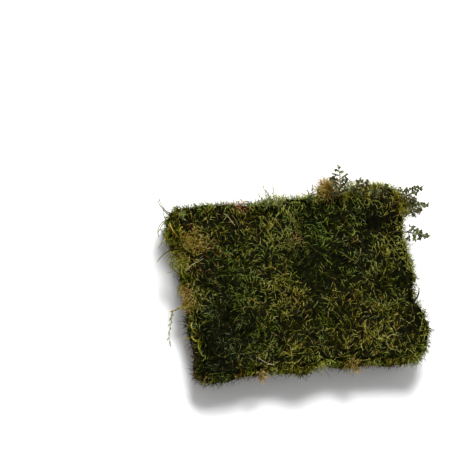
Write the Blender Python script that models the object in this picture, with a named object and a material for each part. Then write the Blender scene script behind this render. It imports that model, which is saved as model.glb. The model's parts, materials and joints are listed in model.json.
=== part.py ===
"""A clump of woodland moss: one thick mat, with the feather-moss fronds, grass blades, dry stalks
and twig that grow or lie in it.

Units are metres. X runs along the mat's long side, Y along its short side and Z up. The mat lies
on its flat base. Shapes are made round the middle of the mat, and one empty then carries them all
so that the origin is under the middle of the whole clump.
"""

import math
import random

import bmesh
import bpy
from mathutils import Matrix, Vector, noise
from mathutils.bvhtree import BVHTree

# The mat
HALF_LENGTH = 0.269
HALF_WIDTH = 0.196
MEAN_HEIGHT = 0.098
CORNER_POWER = 12.0
CELLS_ALONG = 34
CELLS_ACROSS = 24
FLAT_SHARE = 0.93
SHOULDER_DROP = 0.026
SHOULDER_ROWS = 2
WALL_ROWS = 3
BASE_SHARE = 0.955
VERTEX_JITTER = 0.32
WALL_JITTER = 0.0045

# The uneven top and edge, as noise: (wavelength, height)
TOP_LUMPS = ((0.110, 0.013), (0.045, 0.008))
EDGE_LUMPS = ((0.120, 0.007), (0.045, 0.005))
WALL_LUMPS = ((0.060, 0.011), (0.028, 0.006))

# Single mounds and hollows of the top: (x, y, radius, height)
MOUNDS = (
    (0.180, 0.150, 0.085, 0.017),
    (0.113, 0.197, 0.016, 0.010),
    (0.272, 0.150, 0.035, 0.010),
    (0.004, 0.160, 0.030, 0.006),
    (-0.017, -0.190, 0.035, 0.008),
    (0.250, -0.120, 0.045, 0.006),
    (-0.272, -0.004, 0.016, 0.009),
)
HOLLOWS = (
    (0.207, 0.112, 0.017, 0.026),
    (-0.235, 0.165, 0.060, 0.006),
    (-0.262, 0.060, 0.040, 0.010),
    (-0.232, -0.150, 0.022, 0.014),
    (-0.090, -0.035, 0.024, 0.009),
    (0.135, 0.010, 0.028, 0.009),
    (0.060, -0.120, 0.022, 0.008),
    (0.262, -0.045, 0.026, 0.012),
)

# Where the edge stands out or draws in: (x, y, radius, distance)
EDGE_BULGES = (
    (0.265, 0.150, 0.080, 0.020),
    (0.269, 0.055, 0.045, 0.012),
    (0.269, -0.080, 0.110, 0.014),
    (0.269, -0.005, 0.050, 0.017),
    (0.269, -0.030, 0.220, 0.010),
    (0.272, -0.168, 0.045, 0.014),
    (0.250, 0.196, 0.060, 0.012),
    (0.272, 0.178, 0.030, 0.008),
    (-0.255, 0.196, 0.060, 0.012),
    (-0.269, 0.115, 0.060, -0.008),
    (0.130, 0.196, 0.060, 0.004),
    (-0.120, 0.196, 0.060, 0.006),
    (-0.060, 0.196, 0.260, 0.017),
    (-0.015, -0.196, 0.040, 0.009),
    (0.000, -0.196, 0.260, -0.006),
    (-0.250, -0.196, 0.060, 0.013),
    (-0.269, -0.020, 0.260, -0.016),
)

# Tufts: every cell of the mat rises to a point
TUFT_LOW = 0.006
TUFT_HIGH = 0.012
TUFT_LEAN = 0.008
LOWEST_TIP = 0.002
SOCKET_RADIUS = 0.013
SOCKET_DEPTH = 0.010
SOCKET_TUFT = 0.001
SOCKET_REACH = 3.0
PRESSED_TUFT = 0.004
PRESSED_MARGIN = 0.008

# Short curved shoots, fused to the mat
SHOOT_COUNT = 12
SHOOT_LENGTH = (0.012, 0.017)
SHOOT_STEPS = 3
SHOOT_TAPER = 0.62
SHOOT_INSET = 0.0042
SHOOT_BEND = 0.55
SHOOT_CURL = 0.25

# Long single shoots that reach out past the left edge: (x, y, azimuth in degrees, reach out, rise)
LONG_SHOOTS = (
    (-0.254, 0.181, 178.0, 0.058, 0.016),
    (-0.250, 0.158, 168.0, 0.060, 0.014),
    (-0.250, 0.122, 166.0, 0.056, 0.018),
    (-0.248, 0.100, 152.0, 0.060, 0.014),
    (-0.246, 0.040, 186.0, 0.058, 0.012),
    (-0.246, -0.092, 200.0, 0.040, 0.010),
)
LONG_SHOOT_RADIUS = 0.0012
LONG_SHOOT_TAPER = 0.6
LONG_SHOOT_STEPS = 6

# Feather-moss fronds: (x, y, azimuth in degrees, reach out, rise, pairs of branches)
FRONDS = (
    (0.126, 0.184, 96.0, 0.062, 0.064, 7),
    (0.163, 0.188, 62.0, 0.032, 0.044, 4),
    (0.192, 0.184, 84.0, 0.028, 0.042, 4),
    (0.215, 0.176, 62.0, 0.018, 0.026, 4),
    (0.238, 0.180, 84.0, 0.018, 0.044, 3),
    (0.258, 0.154, 23.0, 0.084, 0.036, 7),
    (0.262, 0.130, 12.0, 0.088, 0.028, 8),
    (0.260, 0.100, -17.0, 0.086, 0.024, 8),
)
FROND_THICKNESS = 0.0014
FROND_STEM_WIDTH = 0.0030
FROND_BRANCH_WIDTH = 0.0030
FROND_BRANCH_SHARE = 0.36
FROND_BARE_SHARE = 0.30
FROND_LAST_SHARE = 0.98
FROND_WIDEST = 0.42
FROND_SPREAD = 0.42
FROND_STEM_TAPER = 0.6
FROND_FORWARD = 0.75
FROND_DROOP = 0.06
FROND_TIP_SHARE = 0.35

# Grass blades: (x, y, azimuth in degrees, reach out, rise)
BLADES = (
    (-0.042, 0.180, 104.0, 0.046, 0.048),
    (-0.030, 0.184, 86.0, 0.044, 0.040),
    (-0.012, 0.182, 66.0, 0.022, 0.030),
    (0.060, 0.184, 80.0, 0.030, 0.036),
    (-0.240, 0.176, 108.0, 0.018, 0.022),
)
BLADE_WIDTH = 0.0024
BLADE_THICKNESS = 0.0008
BLADE_TAPER = 0.85
BLADE_STEPS = 5

# Dry stalks that lie on the tufts: (x, y of the middle, azimuth in degrees, length, radius)
STALKS = (
    (-0.138, 0.160, -52.0, 0.036, 0.0007),
    (-0.238, 0.067, 31.0, 0.050, 0.0007),
    (-0.118, -0.166, 152.0, 0.042, 0.0008),
)
STALK_BOW = 0.05
STALK_TAPER = 0.45

CURL_PLACE = (0.194, -0.162)
CURL_RADIUS = 0.021
CURL_SHRINK = 0.25
CURL_TURN = 230.0
CURL_RISE = 0.004
CURL_THICKNESS = 0.0008
CURL_TAPER = 0.5
CURL_STEPS = 12
CURL_AZIMUTH = 50.0

TWIG_PLACE = (0.268, -0.074)
TWIG_AZIMUTH = 76.0
TWIG_REACH = 0.044
TWIG_RISE = 0.036
TWIG_RADIUS = 0.0022
TWIG_TAPER = 0.35
TWIG_KINK = 0.0012
TWIG_SIDES = 6

STRAND_PLACE = (-0.250, -0.022)
STRAND_RADIUS = 0.0016
STRAND_CLEARANCE = 0.030
STRAND_ARCH = 0.022
STRAND_HANG = 0.052
STRAND_SWEEP = 0.064
STRAND_SWAY = 0.003
STRAND_TAPER = 0.6

GAP = 0.0004

MATERIALS = {
    "moss": ((0.085, 0.110, 0.022), 0.85),
    "feather_moss": ((0.070, 0.100, 0.045), 0.80),
    "grass": ((0.420, 0.430, 0.170), 0.60),
    "dry_straw": ((0.480, 0.370, 0.190), 0.70),
    "bark": ((0.050, 0.035, 0.022), 0.85),
}


def material(name):
    """The Principled material of that name, made once."""
    made = bpy.data.materials.get(name)
    if made:
        return made
    colour, roughness = MATERIALS[name]
    made = bpy.data.materials.new(name)
    made.use_nodes = True
    shader = made.node_tree.nodes["Principled BSDF"]
    shader.inputs["Base Color"].default_value = (*colour, 1.0)
    shader.inputs["Roughness"].default_value = roughness
    shader.inputs["Metallic"].default_value = 0.0
    return made


def add_object(name, mesh, material_name, parent, place=(0.0, 0.0, 0.0), azimuth=0.0):
    """Links a mesh as a named object that the empty carries."""
    obj = bpy.data.objects.new(name, mesh)
    bpy.context.scene.collection.objects.link(obj)
    mesh.materials.append(material(material_name))
    obj.parent = parent
    obj.location = place
    obj.rotation_euler = (0.0, 0.0, math.radians(azimuth))
    return obj


def lumps(x, y, layers, seed):
    """Smooth noise of several wavelengths at a point of the plan."""
    return sum(
        height * noise.noise(Vector((x / length, y / length, seed)))
        for length, height in layers
    )


def bump(x, y, feature):
    """A round mound: its height at this point."""
    centre_x, centre_y, radius, height = feature
    distance = math.hypot(x - centre_x, y - centre_y)
    return height * math.exp(-((distance / radius) ** 2))


def planted_places():
    """The points of the plan where a frond, blade, long shoot, twig or strand stands in the mat."""
    rows = [*FRONDS, *BLADES, *LONG_SHOOTS, TWIG_PLACE, STRAND_PLACE]
    return [(row[0], row[1]) for row in rows]


def socket_share(x, y):
    """1 at a planted point, falling to 0 round it."""
    nearest = min(math.hypot(x - px, y - py) for px, py in planted_places())
    return math.exp(-((nearest / SOCKET_RADIUS) ** 2))


def pressed_down(x, y):
    """Whether a stalk or the curled stem lies on the mat here and holds its tufts down."""
    lying = [(*CURL_PLACE, CURL_RADIUS), *((row[0], row[1], row[3] / 2.0) for row in STALKS)]
    return any(math.hypot(x - lx, y - ly) < reach + PRESSED_MARGIN for lx, ly, reach in lying)


def outline_point(u, v):
    """The mat's edge in the direction of a point on the edge of the square from -1 to 1."""
    share = (abs(u) ** CORNER_POWER + abs(v) ** CORNER_POWER) ** (-1.0 / CORNER_POWER)
    x = HALF_LENGTH * u * share
    y = HALF_WIDTH * v * share
    outward = Vector((u ** 5 / HALF_LENGTH, v ** 5 / HALF_WIDTH)).normalized()
    distance = lumps(x, y, EDGE_LUMPS, 3.7)
    distance += sum(bump(x, y, feature) for feature in EDGE_BULGES)
    return Vector((x, y)) + outward * distance


def plan_point(u, v):
    """A point of the square from -1 to 1, moved into the mat's rounded plan."""
    ring = max(abs(u), abs(v))
    if ring == 0.0:
        return Vector((0.0, 0.0))
    return outline_point(u / ring, v / ring) * ring


def top_height(x, y):
    """The height of the mat's top, without its tufts."""
    height = MEAN_HEIGHT + lumps(x, y, TOP_LUMPS, 1.3)
    height += sum(bump(x, y, feature) for feature in MOUNDS)
    height -= sum(bump(x, y, feature) for feature in HOLLOWS)
    return height - SOCKET_DEPTH * socket_share(x, y)


def wall_bulge(x, y, z):
    """How far the walls stand out or draw in at a point."""
    return sum(
        height * noise.noise(Vector((x / length, y / length, z / length + 5.0)))
        for length, height in WALL_LUMPS
    )


def side_rows():
    """The rows below the flat top, as (how far out, how far the edge has dropped, share of the height)."""
    rows = []
    for row in range(1, SHOULDER_ROWS + 1):
        angle = math.radians(90.0 * row / SHOULDER_ROWS)
        share = FLAT_SHARE + (1.0 - FLAT_SHARE) * math.sin(angle)
        rows.append((share, SHOULDER_DROP * (1.0 - math.cos(angle)), 1.0))
    for row in range(1, WALL_ROWS + 1):
        down = row / WALL_ROWS
        rows.append((1.0 + (BASE_SHARE - 1.0) * down, SHOULDER_DROP, 1.0 - down))
    return rows


def square_edge():
    """The points on the edge of the square from -1 to 1, once round, one for each cell of the edge."""
    along = [2.0 * step / CELLS_ALONG - 1.0 for step in range(CELLS_ALONG)]
    across = [2.0 * step / CELLS_ACROSS - 1.0 for step in range(CELLS_ACROSS)]
    near = [(value, -1.0) for value in along]
    right = [(1.0, value) for value in across]
    far = [(-value, 1.0) for value in along]
    left = [(-1.0, -value) for value in across]
    return near + right + far + left


def mat_top(bm, rng):
    """The grid of the top. It returns the vertices by their place in the grid."""
    grid = {}
    for i in range(CELLS_ALONG + 1):
        for j in range(CELLS_ACROSS + 1):
            inside = 0 < i < CELLS_ALONG and 0 < j < CELLS_ACROSS
            loose = VERTEX_JITTER if inside else 0.0
            u = 2.0 * (i + rng.uniform(-loose, loose)) / CELLS_ALONG - 1.0
            v = 2.0 * (j + rng.uniform(-loose, loose)) / CELLS_ACROSS - 1.0
            point = plan_point(u * FLAT_SHARE, v * FLAT_SHARE)
            grid[i, j] = bm.verts.new((point.x, point.y, top_height(point.x, point.y)))
    for i in range(CELLS_ALONG):
        for j in range(CELLS_ACROSS):
            bm.faces.new((grid[i, j], grid[i + 1, j], grid[i + 1, j + 1], grid[i, j + 1]))
    return grid


def top_edge(grid):
    """The top's outer vertices, once round, in the order of square_edge."""
    near = [grid[i, 0] for i in range(CELLS_ALONG)]
    right = [grid[CELLS_ALONG, j] for j in range(CELLS_ACROSS)]
    far = [grid[CELLS_ALONG - i, CELLS_ACROSS] for i in range(CELLS_ALONG)]
    left = [grid[0, CELLS_ACROSS - j] for j in range(CELLS_ACROSS)]
    return near + right + far + left


def mat_sides(bm, rng, ring):
    """The shoulder, the walls and the flat base, from the top's outer vertices down."""
    edge = square_edge()
    heights = [vertex.co.z for vertex in ring]
    for share, drop, height_share in side_rows():
        lower = []
        for (u, v), height in zip(edge, heights):
            point = outline_point(u, v) * share
            z = (height - drop) * height_share
            out = point.normalized() * wall_bulge(point.x, point.y, z)
            along = Vector((-point.y, point.x)).normalized() * rng.uniform(-WALL_JITTER, WALL_JITTER)
            point += out + along
            lift = rng.uniform(-WALL_JITTER, WALL_JITTER) if height_share > 0.0 else 0.0
            lower.append(bm.verts.new((point.x, point.y, z + lift)))
        for index in range(len(ring)):
            after = (index + 1) % len(ring)
            bm.faces.new((ring[index], lower[index], lower[after], ring[after]))
        ring = lower
    bm.faces.new(list(reversed(ring)))


def grow_shoot(bm, face, out, length):
    """Draws a face out into a tapering shoot that rises and then bends over towards out."""
    normal = face.normal.copy()
    bmesh.ops.inset_individual(bm, faces=[face], thickness=SHOOT_INSET)
    direction = normal
    for step in range(SHOOT_STEPS):
        made = bmesh.ops.extrude_discrete_faces(bm, faces=[face])
        face = made["faces"][0]
        direction = (direction + out * (SHOOT_BEND + SHOOT_CURL * step)).normalized()
        centre = face.calc_center_median()
        for vertex in face.verts:
            offset = (vertex.co - centre) * SHOOT_TAPER
            vertex.co = centre + offset + direction * (length / SHOOT_STEPS)


def grow_shoots(bm, rng, faces):
    """The mat's curved shoots, here and there. It returns the faces that they grow from."""
    used = []
    for face in rng.sample(faces, SHOOT_COUNT * 3):
        centre = face.calc_center_median()
        if socket_share(centre.x, centre.y) > 0.02 or pressed_down(centre.x, centre.y):
            continue
        angle = rng.uniform(0.0, math.tau)
        out = Vector((math.cos(angle), math.sin(angle), 0.25)) * rng.uniform(0.4, 1.0)
        used.append((face, out, rng.uniform(*SHOOT_LENGTH)))
        if len(used) == SHOOT_COUNT:
            break
    taken = {face for face, _, _ in used}
    for face, out, length in used:
        grow_shoot(bm, face, out, length)
    return taken


def raise_tufts(bm, rng, faces):
    """Each cell becomes a tuft: a low leaning point."""
    tips = bmesh.ops.poke(bm, faces=faces)["verts"]
    for tip in tips:
        normal = Vector()
        for face in tip.link_faces:
            face.normal_update()
            normal += face.normal
        normal.normalize()
        height = rng.uniform(TUFT_LOW, TUFT_HIGH)
        if pressed_down(tip.co.x, tip.co.y):
            height = PRESSED_TUFT
        lean = Vector((rng.uniform(-1.0, 1.0), rng.uniform(-1.0, 1.0), rng.uniform(-0.8, 0.6)))
        near_socket = socket_share(tip.co.x, tip.co.y) if normal.z > 0.6 else 0.0
        free = 1.0 - min(1.0, SOCKET_REACH * near_socket)
        tip.co += normal * (SOCKET_TUFT + height * free) + lean * TUFT_LEAN * free
        tip.co.z = max(tip.co.z, LOWEST_TIP)


def moss_mat(parent):
    """The mat itself, as one closed body: lumpy top, shoulder, walls, flat base, tufts and shoots."""
    rng = random.Random(11)
    bm = bmesh.new()
    grid = mat_top(bm, rng)
    mat_sides(bm, rng, top_edge(grid))
    bm.normal_update()
    cells = [face for face in bm.faces if len(face.verts) == 4]
    taken = grow_shoots(bm, rng, cells)
    raise_tufts(bm, rng, [face for face in cells if face not in taken])
    mesh = bpy.data.meshes.new("moss_mat")
    bm.to_mesh(mesh)
    bm.free()
    return add_object("moss_mat", mesh, "moss", parent)


def bend(reach, rise, share):
    """A point of a stem that stands up out of the mat and bends over towards +X."""
    angle = share * math.pi / 2.0
    return Vector((reach * (1.0 - math.cos(angle)), 0.0, rise * math.sin(angle)))


def bend_direction(reach, rise, share):
    angle = share * math.pi / 2.0
    return Vector((reach * math.sin(angle), 0.0, rise * math.cos(angle) + 0.001)).normalized()


def strip_mesh(name, points, faces, thickness):
    """A flat sheet of quads with an even thickness, as one closed body."""
    mesh = bpy.data.meshes.new(name)
    mesh.from_pydata(points, [], faces)
    bm = bmesh.new()
    bm.from_mesh(mesh)
    bm.normal_update()
    bmesh.ops.solidify(bm, geom=bm.faces[:], thickness=thickness)
    bmesh.ops.recalc_face_normals(bm, faces=bm.faces[:])
    bm.to_mesh(mesh)
    bm.free()
    return mesh


def frond_mesh(name, reach, rise, pairs):
    """A feather-moss frond: a bent stem with flat side branches, longest below the middle."""
    points = []
    faces = []
    stations = 2 * pairs + 2
    length = math.hypot(reach, rise)
    leafy = FROND_LAST_SHARE - FROND_BARE_SHARE
    shares = [0.0] + [FROND_BARE_SHARE + leafy * step / (stations - 2) for step in range(stations - 1)]
    edge = {-1: [], 1: []}
    for share in shares:
        centre = bend(reach, rise, share)
        half = 0.5 * FROND_STEM_WIDTH * (1.0 - FROND_STEM_TAPER * share)
        for side in (-1, 1):
            edge[side].append(len(points))
            points.append(centre + Vector((0.0, side * half, 0.0)))
    for index in range(len(shares) - 1):
        faces.append((edge[-1][index], edge[-1][index + 1], edge[1][index + 1], edge[1][index]))
    for pair in range(pairs):
        root = 1 + 2 * pair
        share = shares[root]
        along = bend_direction(reach, rise, share)
        spread = math.exp(-(((share - FROND_WIDEST) / FROND_SPREAD) ** 2))
        branch = FROND_BRANCH_SHARE * length * spread
        for side in (-1, 1):
            out = (along * FROND_FORWARD + Vector((0.0, side, 0.0))).normalized()
            lower, upper = edge[side][root], edge[side][root + 1]
            for step in (1, 2):
                middle = (points[edge[side][root]] + points[edge[side][root + 1]]) / 2.0
                droop = Vector((0.0, 0.0, FROND_DROOP * branch * step))
                centre = middle + out * branch * step / 2.0 - droop
                half = 0.5 * FROND_BRANCH_WIDTH * (1.0 if step == 1 else FROND_TIP_SHARE)
                first = len(points)
                points.append(centre - along * half)
                points.append(centre + along * half)
                if side == 1:
                    faces.append((lower, upper, first + 1, first))
                else:
                    faces.append((upper, lower, first, first + 1))
                lower, upper = first, first + 1
    return strip_mesh(name, points, faces, FROND_THICKNESS)


def blade_mesh(name, reach, rise):
    """A narrow grass blade that bends over and ends in a point."""
    points = []
    faces = []
    for step in range(BLADE_STEPS + 1):
        share = step / BLADE_STEPS
        centre = bend(reach, rise, share)
        half = 0.5 * BLADE_WIDTH * (1.0 - BLADE_TAPER * share ** 2)
        points.append(centre + Vector((0.0, -half, 0.0)))
        points.append(centre + Vector((0.0, half, 0.0)))
    for step in range(BLADE_STEPS):
        low = 2 * step
        faces.append((low, low + 2, low + 3, low + 1))
    return strip_mesh(name, points, faces, BLADE_THICKNESS)


def tube_mesh(name, route, radius, taper, sides=5):
    """A tapering tube with closed ends along a route."""
    bm = bmesh.new()
    rings = []
    for index, centre in enumerate(route):
        before = route[max(index - 1, 0)]
        after = route[min(index + 1, len(route) - 1)]
        turn = (after - before).to_track_quat("Z", "Y").to_matrix()
        size = radius * (1.0 - taper * index / (len(route) - 1))
        ring = []
        for side in range(sides):
            angle = math.tau * side / sides
            spoke = Vector((math.cos(angle), math.sin(angle), 0.0))
            ring.append(bm.verts.new(centre + turn @ spoke * size))
        rings.append(ring)
    for low, high in zip(rings, rings[1:]):
        for side in range(sides):
            after = (side + 1) % sides
            bm.faces.new((low[side], low[after], high[after], high[side]))
    bm.faces.new(list(reversed(rings[0])))
    bm.faces.new(rings[-1])
    mesh = bpy.data.meshes.new(name)
    bm.to_mesh(mesh)
    bm.free()
    return mesh


def tree_of(obj):
    """A search tree of an object's mesh, in the mat's own frame."""
    turn = Matrix.Rotation(obj.rotation_euler.z, 4, "Z")
    place = Matrix.Translation(obj.location) @ turn
    points = [place @ vertex.co for vertex in obj.data.vertices]
    faces = [tuple(face.vertices) for face in obj.data.polygons]
    return BVHTree.FromPolygons(points, faces), points


def floor_at(tree, x, y):
    """The height of the mat's surface at a point of the plan, or of the ground beside the mat."""
    hit = tree.ray_cast(Vector((x, y, 1.0)), Vector((0.0, 0.0, -1.0)))
    return hit[0].z if hit[0] else 0.0


def settle(obj, mat_tree, mat_points):
    """Lowers or lifts a piece until it just clears the mat below it: its tufts, or its socket."""
    tree, points = tree_of(obj)
    down = Vector((0.0, 0.0, -1.0))
    room = min(point.z - floor_at(mat_tree, point.x, point.y) for point in points)
    for point in mat_points:
        hit = tree.ray_cast(Vector((point.x, point.y, 1.0)), down)
        while hit[0] is not None:
            room = min(room, hit[0].z - point.z)
            hit = tree.ray_cast(hit[0] + down * 1e-5, down)
    obj.location.z -= room - GAP
    while tree_of(obj)[0].overlap(mat_tree):
        obj.location.z += GAP


def fronds(parent, mat_tree, mat_points):
    for number, (x, y, azimuth, reach, rise, pairs) in enumerate(FRONDS, 1):
        name = f"feather_frond_{number}"
        mesh = frond_mesh(name, reach, rise, pairs)
        frond = add_object(name, mesh, "feather_moss", parent, (x, y, MEAN_HEIGHT), azimuth)
        settle(frond, mat_tree, mat_points)


def grass_blades(parent, mat_tree, mat_points):
    for number, (x, y, azimuth, reach, rise) in enumerate(BLADES, 1):
        name = f"grass_blade_{number}"
        mesh = blade_mesh(name, reach, rise)
        blade = add_object(name, mesh, "grass", parent, (x, y, MEAN_HEIGHT), azimuth)
        settle(blade, mat_tree, mat_points)


def long_shoots(parent, mat_tree, mat_points):
    """Single moss shoots that stand in the mat and bend out past its left edge."""
    for number, (x, y, azimuth, reach, rise) in enumerate(LONG_SHOOTS, 1):
        name = f"long_shoot_{number}"
        route = [bend(reach, rise, step / LONG_SHOOT_STEPS) for step in range(LONG_SHOOT_STEPS + 1)]
        mesh = tube_mesh(name, route, LONG_SHOOT_RADIUS, LONG_SHOOT_TAPER)
        shoot = add_object(name, mesh, "moss", parent, (x, y, MEAN_HEIGHT), azimuth)
        settle(shoot, mat_tree, mat_points)


def dry_stalks(parent, mat_tree, mat_points):
    for number, (x, y, azimuth, length, radius) in enumerate(STALKS, 1):
        name = f"dry_stalk_{number}"
        route = [
            Vector((length * (share - 0.5), STALK_BOW * length * math.sin(share * math.pi * 1.5), 0.0))
            for share in (0.0, 0.2, 0.4, 0.6, 0.8, 1.0)
        ]
        mesh = tube_mesh(name, route, radius, STALK_TAPER)
        stalk = add_object(name, mesh, "dry_straw", parent, (x, y, MEAN_HEIGHT), azimuth)
        settle(stalk, mat_tree, mat_points)


def curled_stem(parent, mat_tree, mat_points):
    """A pale stem that lies in an open curl."""
    route = []
    for step in range(CURL_STEPS + 1):
        share = step / CURL_STEPS
        angle = math.radians(CURL_TURN * share)
        radius = CURL_RADIUS * (1.0 - CURL_SHRINK * share)
        route.append(Vector((radius * math.cos(angle), radius * math.sin(angle), CURL_RISE * share)))
    mesh = tube_mesh("curled_stem", route, CURL_THICKNESS, CURL_TAPER)
    place = (*CURL_PLACE, MEAN_HEIGHT)
    curl = add_object("curled_stem", mesh, "dry_straw", parent, place, CURL_AZIMUTH)
    settle(curl, mat_tree, mat_points)


def dark_twig(parent, mat_tree, mat_points):
    """A short broken twig that stands in the mat at its right edge."""
    route = [
        bend(TWIG_REACH, TWIG_RISE, share) + Vector((0.0, TWIG_KINK * math.sin(9.0 * share), 0.0))
        for share in (0.0, 0.15, 0.3, 0.45, 0.6, 0.75)
    ]
    mesh = tube_mesh("dark_twig", route, TWIG_RADIUS, TWIG_TAPER, TWIG_SIDES)
    twig = add_object("dark_twig", mesh, "bark", parent, (*TWIG_PLACE, MEAN_HEIGHT), TWIG_AZIMUTH)
    settle(twig, mat_tree, mat_points)


def trailing_strand(parent, mat_tree, mat_points):
    """A loose strand of moss that crosses the mat's left edge in an arch and trails down beside it."""
    edge = -HALF_LENGTH - STRAND_CLEARANCE - STRAND_PLACE[0]
    arch = []
    for share in (0.0, 0.12, 0.3, 0.5, 0.7, 0.85, 1.0):
        angle = math.pi * share
        across = edge * (0.5 - 0.5 * math.cos(angle))
        arch.append(Vector((across, -0.004 * share, STRAND_ARCH * math.sin(angle))))
    hang = []
    for share in (0.2, 0.4, 0.6, 0.8, 1.0):
        sway = STRAND_SWAY * math.sin(6.0 * share)
        hang.append(arch[-1] + Vector((sway, -STRAND_SWEEP * share ** 1.5, -STRAND_HANG * share)))
    mesh = tube_mesh("trailing_strand", arch + hang, STRAND_RADIUS, STRAND_TAPER)
    strand = add_object("trailing_strand", mesh, "moss", parent, (*STRAND_PLACE, MEAN_HEIGHT))
    settle(strand, mat_tree, mat_points)


def centre_on_origin(carrier):
    """Moves the empty so that the origin is under the middle of the clump."""
    bpy.context.view_layer.update()
    corners = [
        child.matrix_world @ vertex.co
        for child in carrier.children
        for vertex in child.data.vertices
    ]
    carrier.location.x = -(min(p.x for p in corners) + max(p.x for p in corners)) / 2.0
    carrier.location.y = -(min(p.y for p in corners) + max(p.y for p in corners)) / 2.0
    carrier.location.z = -min(p.z for p in corners)


def main():
    for obj in list(bpy.data.objects):
        bpy.data.objects.remove(obj, do_unlink=True)
    carrier = bpy.data.objects.new("moss_clump", None)
    bpy.context.scene.collection.objects.link(carrier)
    mat_tree, mat_points = tree_of(moss_mat(carrier))
    for make in (fronds, grass_blades, long_shoots, dry_stalks, curled_stem, dark_twig, trailing_strand):
        make(carrier, mat_tree, mat_points)
    centre_on_origin(carrier)
    print("the middle of the mat is at", [round(value, 5) for value in carrier.location])


main()
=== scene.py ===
"""The looks of a clump of woodland moss: thousands of leafy shoots on a dark felted core, with
feather-moss fronds, small thin plants, dry stalks and a twig, on a pale floor under soft light.

Units are metres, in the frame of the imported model. Shapes are worked out round the middle of the
mat and then moved to where the frame has it.
"""

import json
import math

import bpy
import numpy as np
from mathutils import Matrix, Vector, noise


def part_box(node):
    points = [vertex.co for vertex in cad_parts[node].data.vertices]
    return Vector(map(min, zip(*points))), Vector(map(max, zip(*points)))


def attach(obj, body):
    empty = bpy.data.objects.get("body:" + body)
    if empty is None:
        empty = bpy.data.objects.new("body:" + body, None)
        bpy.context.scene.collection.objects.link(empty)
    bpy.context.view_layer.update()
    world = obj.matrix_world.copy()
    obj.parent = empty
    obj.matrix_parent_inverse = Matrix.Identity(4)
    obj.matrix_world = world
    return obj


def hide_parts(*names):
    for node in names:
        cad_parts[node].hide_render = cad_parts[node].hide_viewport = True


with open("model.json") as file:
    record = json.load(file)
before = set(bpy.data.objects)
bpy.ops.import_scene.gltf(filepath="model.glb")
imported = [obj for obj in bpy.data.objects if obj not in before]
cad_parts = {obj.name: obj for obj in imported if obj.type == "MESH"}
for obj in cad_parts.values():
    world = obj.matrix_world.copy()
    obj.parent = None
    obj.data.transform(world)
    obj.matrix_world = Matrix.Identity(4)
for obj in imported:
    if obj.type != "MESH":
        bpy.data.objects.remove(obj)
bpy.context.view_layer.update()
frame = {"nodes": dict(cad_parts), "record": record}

# The mat, with the same driving dimensions as its solid
HALF_LENGTH = 0.269
HALF_WIDTH = 0.196
MEAN_HEIGHT = 0.098
CORNER_POWER = 12.0
FLAT_SHARE = 0.93
SHOULDER_DROP = 0.026
BASE_SHARE = 0.955
OUTWARD_POWER = 5
# Where the shoulder ends: 0 is the end of the flat top and 1 is the base
SHOULDER_END = 0.4
# Noise of the top, the edge and the walls as (wavelength, height), and where it is read
TOP_LUMPS = ((0.110, 0.013), (0.045, 0.008))
EDGE_LUMPS = ((0.120, 0.007), (0.045, 0.005))
WALL_LUMPS = ((0.060, 0.011), (0.028, 0.006))
TOP_SEED, EDGE_SEED, WALL_SEED = 1.3, 3.7, 5.0
# Mounds and hollows of the top, and bulges of the edge: (x, y, radius, height)
MOUNDS = (
    (0.180, 0.150, 0.085, 0.017),
    (0.113, 0.197, 0.016, 0.010),
    (0.272, 0.150, 0.035, 0.010),
    (0.004, 0.160, 0.030, 0.006),
    (-0.017, -0.190, 0.035, 0.008),
    (0.250, -0.120, 0.045, 0.006),
    (-0.272, -0.004, 0.016, 0.009),
)
HOLLOWS = (
    (0.207, 0.112, 0.017, 0.026),
    (-0.235, 0.165, 0.060, 0.006),
    (-0.262, 0.060, 0.040, 0.010),
    (-0.232, -0.150, 0.022, 0.014),
    (-0.090, -0.035, 0.024, 0.009),
    (0.135, 0.010, 0.028, 0.009),
    (0.060, -0.120, 0.022, 0.008),
    (0.262, -0.045, 0.026, 0.012),
)
EDGE_BULGES = (
    (0.265, 0.150, 0.080, 0.020),
    (0.269, 0.055, 0.045, 0.012),
    (0.269, -0.080, 0.110, 0.014),
    (0.269, -0.005, 0.050, 0.017),
    (0.269, -0.030, 0.220, 0.010),
    (0.272, -0.168, 0.045, 0.014),
    (0.250, 0.196, 0.060, 0.012),
    (0.272, 0.178, 0.030, 0.008),
    (-0.255, 0.196, 0.060, 0.012),
    (-0.269, 0.115, 0.060, -0.008),
    (0.130, 0.196, 0.060, 0.004),
    (-0.120, 0.196, 0.060, 0.006),
    (-0.060, 0.196, 0.260, 0.017),
    (-0.015, -0.196, 0.040, 0.009),
    (0.000, -0.196, 0.260, -0.006),
    (-0.250, -0.196, 0.060, 0.013),
    (-0.269, -0.020, 0.260, -0.016),
)
# Long single shoots that reach out past the left edge: (x, y, azimuth in degrees, reach out, rise)
LONG_SHOOTS = (
    (-0.254, 0.181, 178.0, 0.058, 0.016),
    (-0.250, 0.158, 168.0, 0.060, 0.014),
    (-0.250, 0.122, 166.0, 0.056, 0.018),
    (-0.248, 0.100, 152.0, 0.060, 0.014),
    (-0.246, 0.040, 186.0, 0.058, 0.012),
    (-0.246, -0.092, 200.0, 0.040, 0.010),
)
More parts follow.
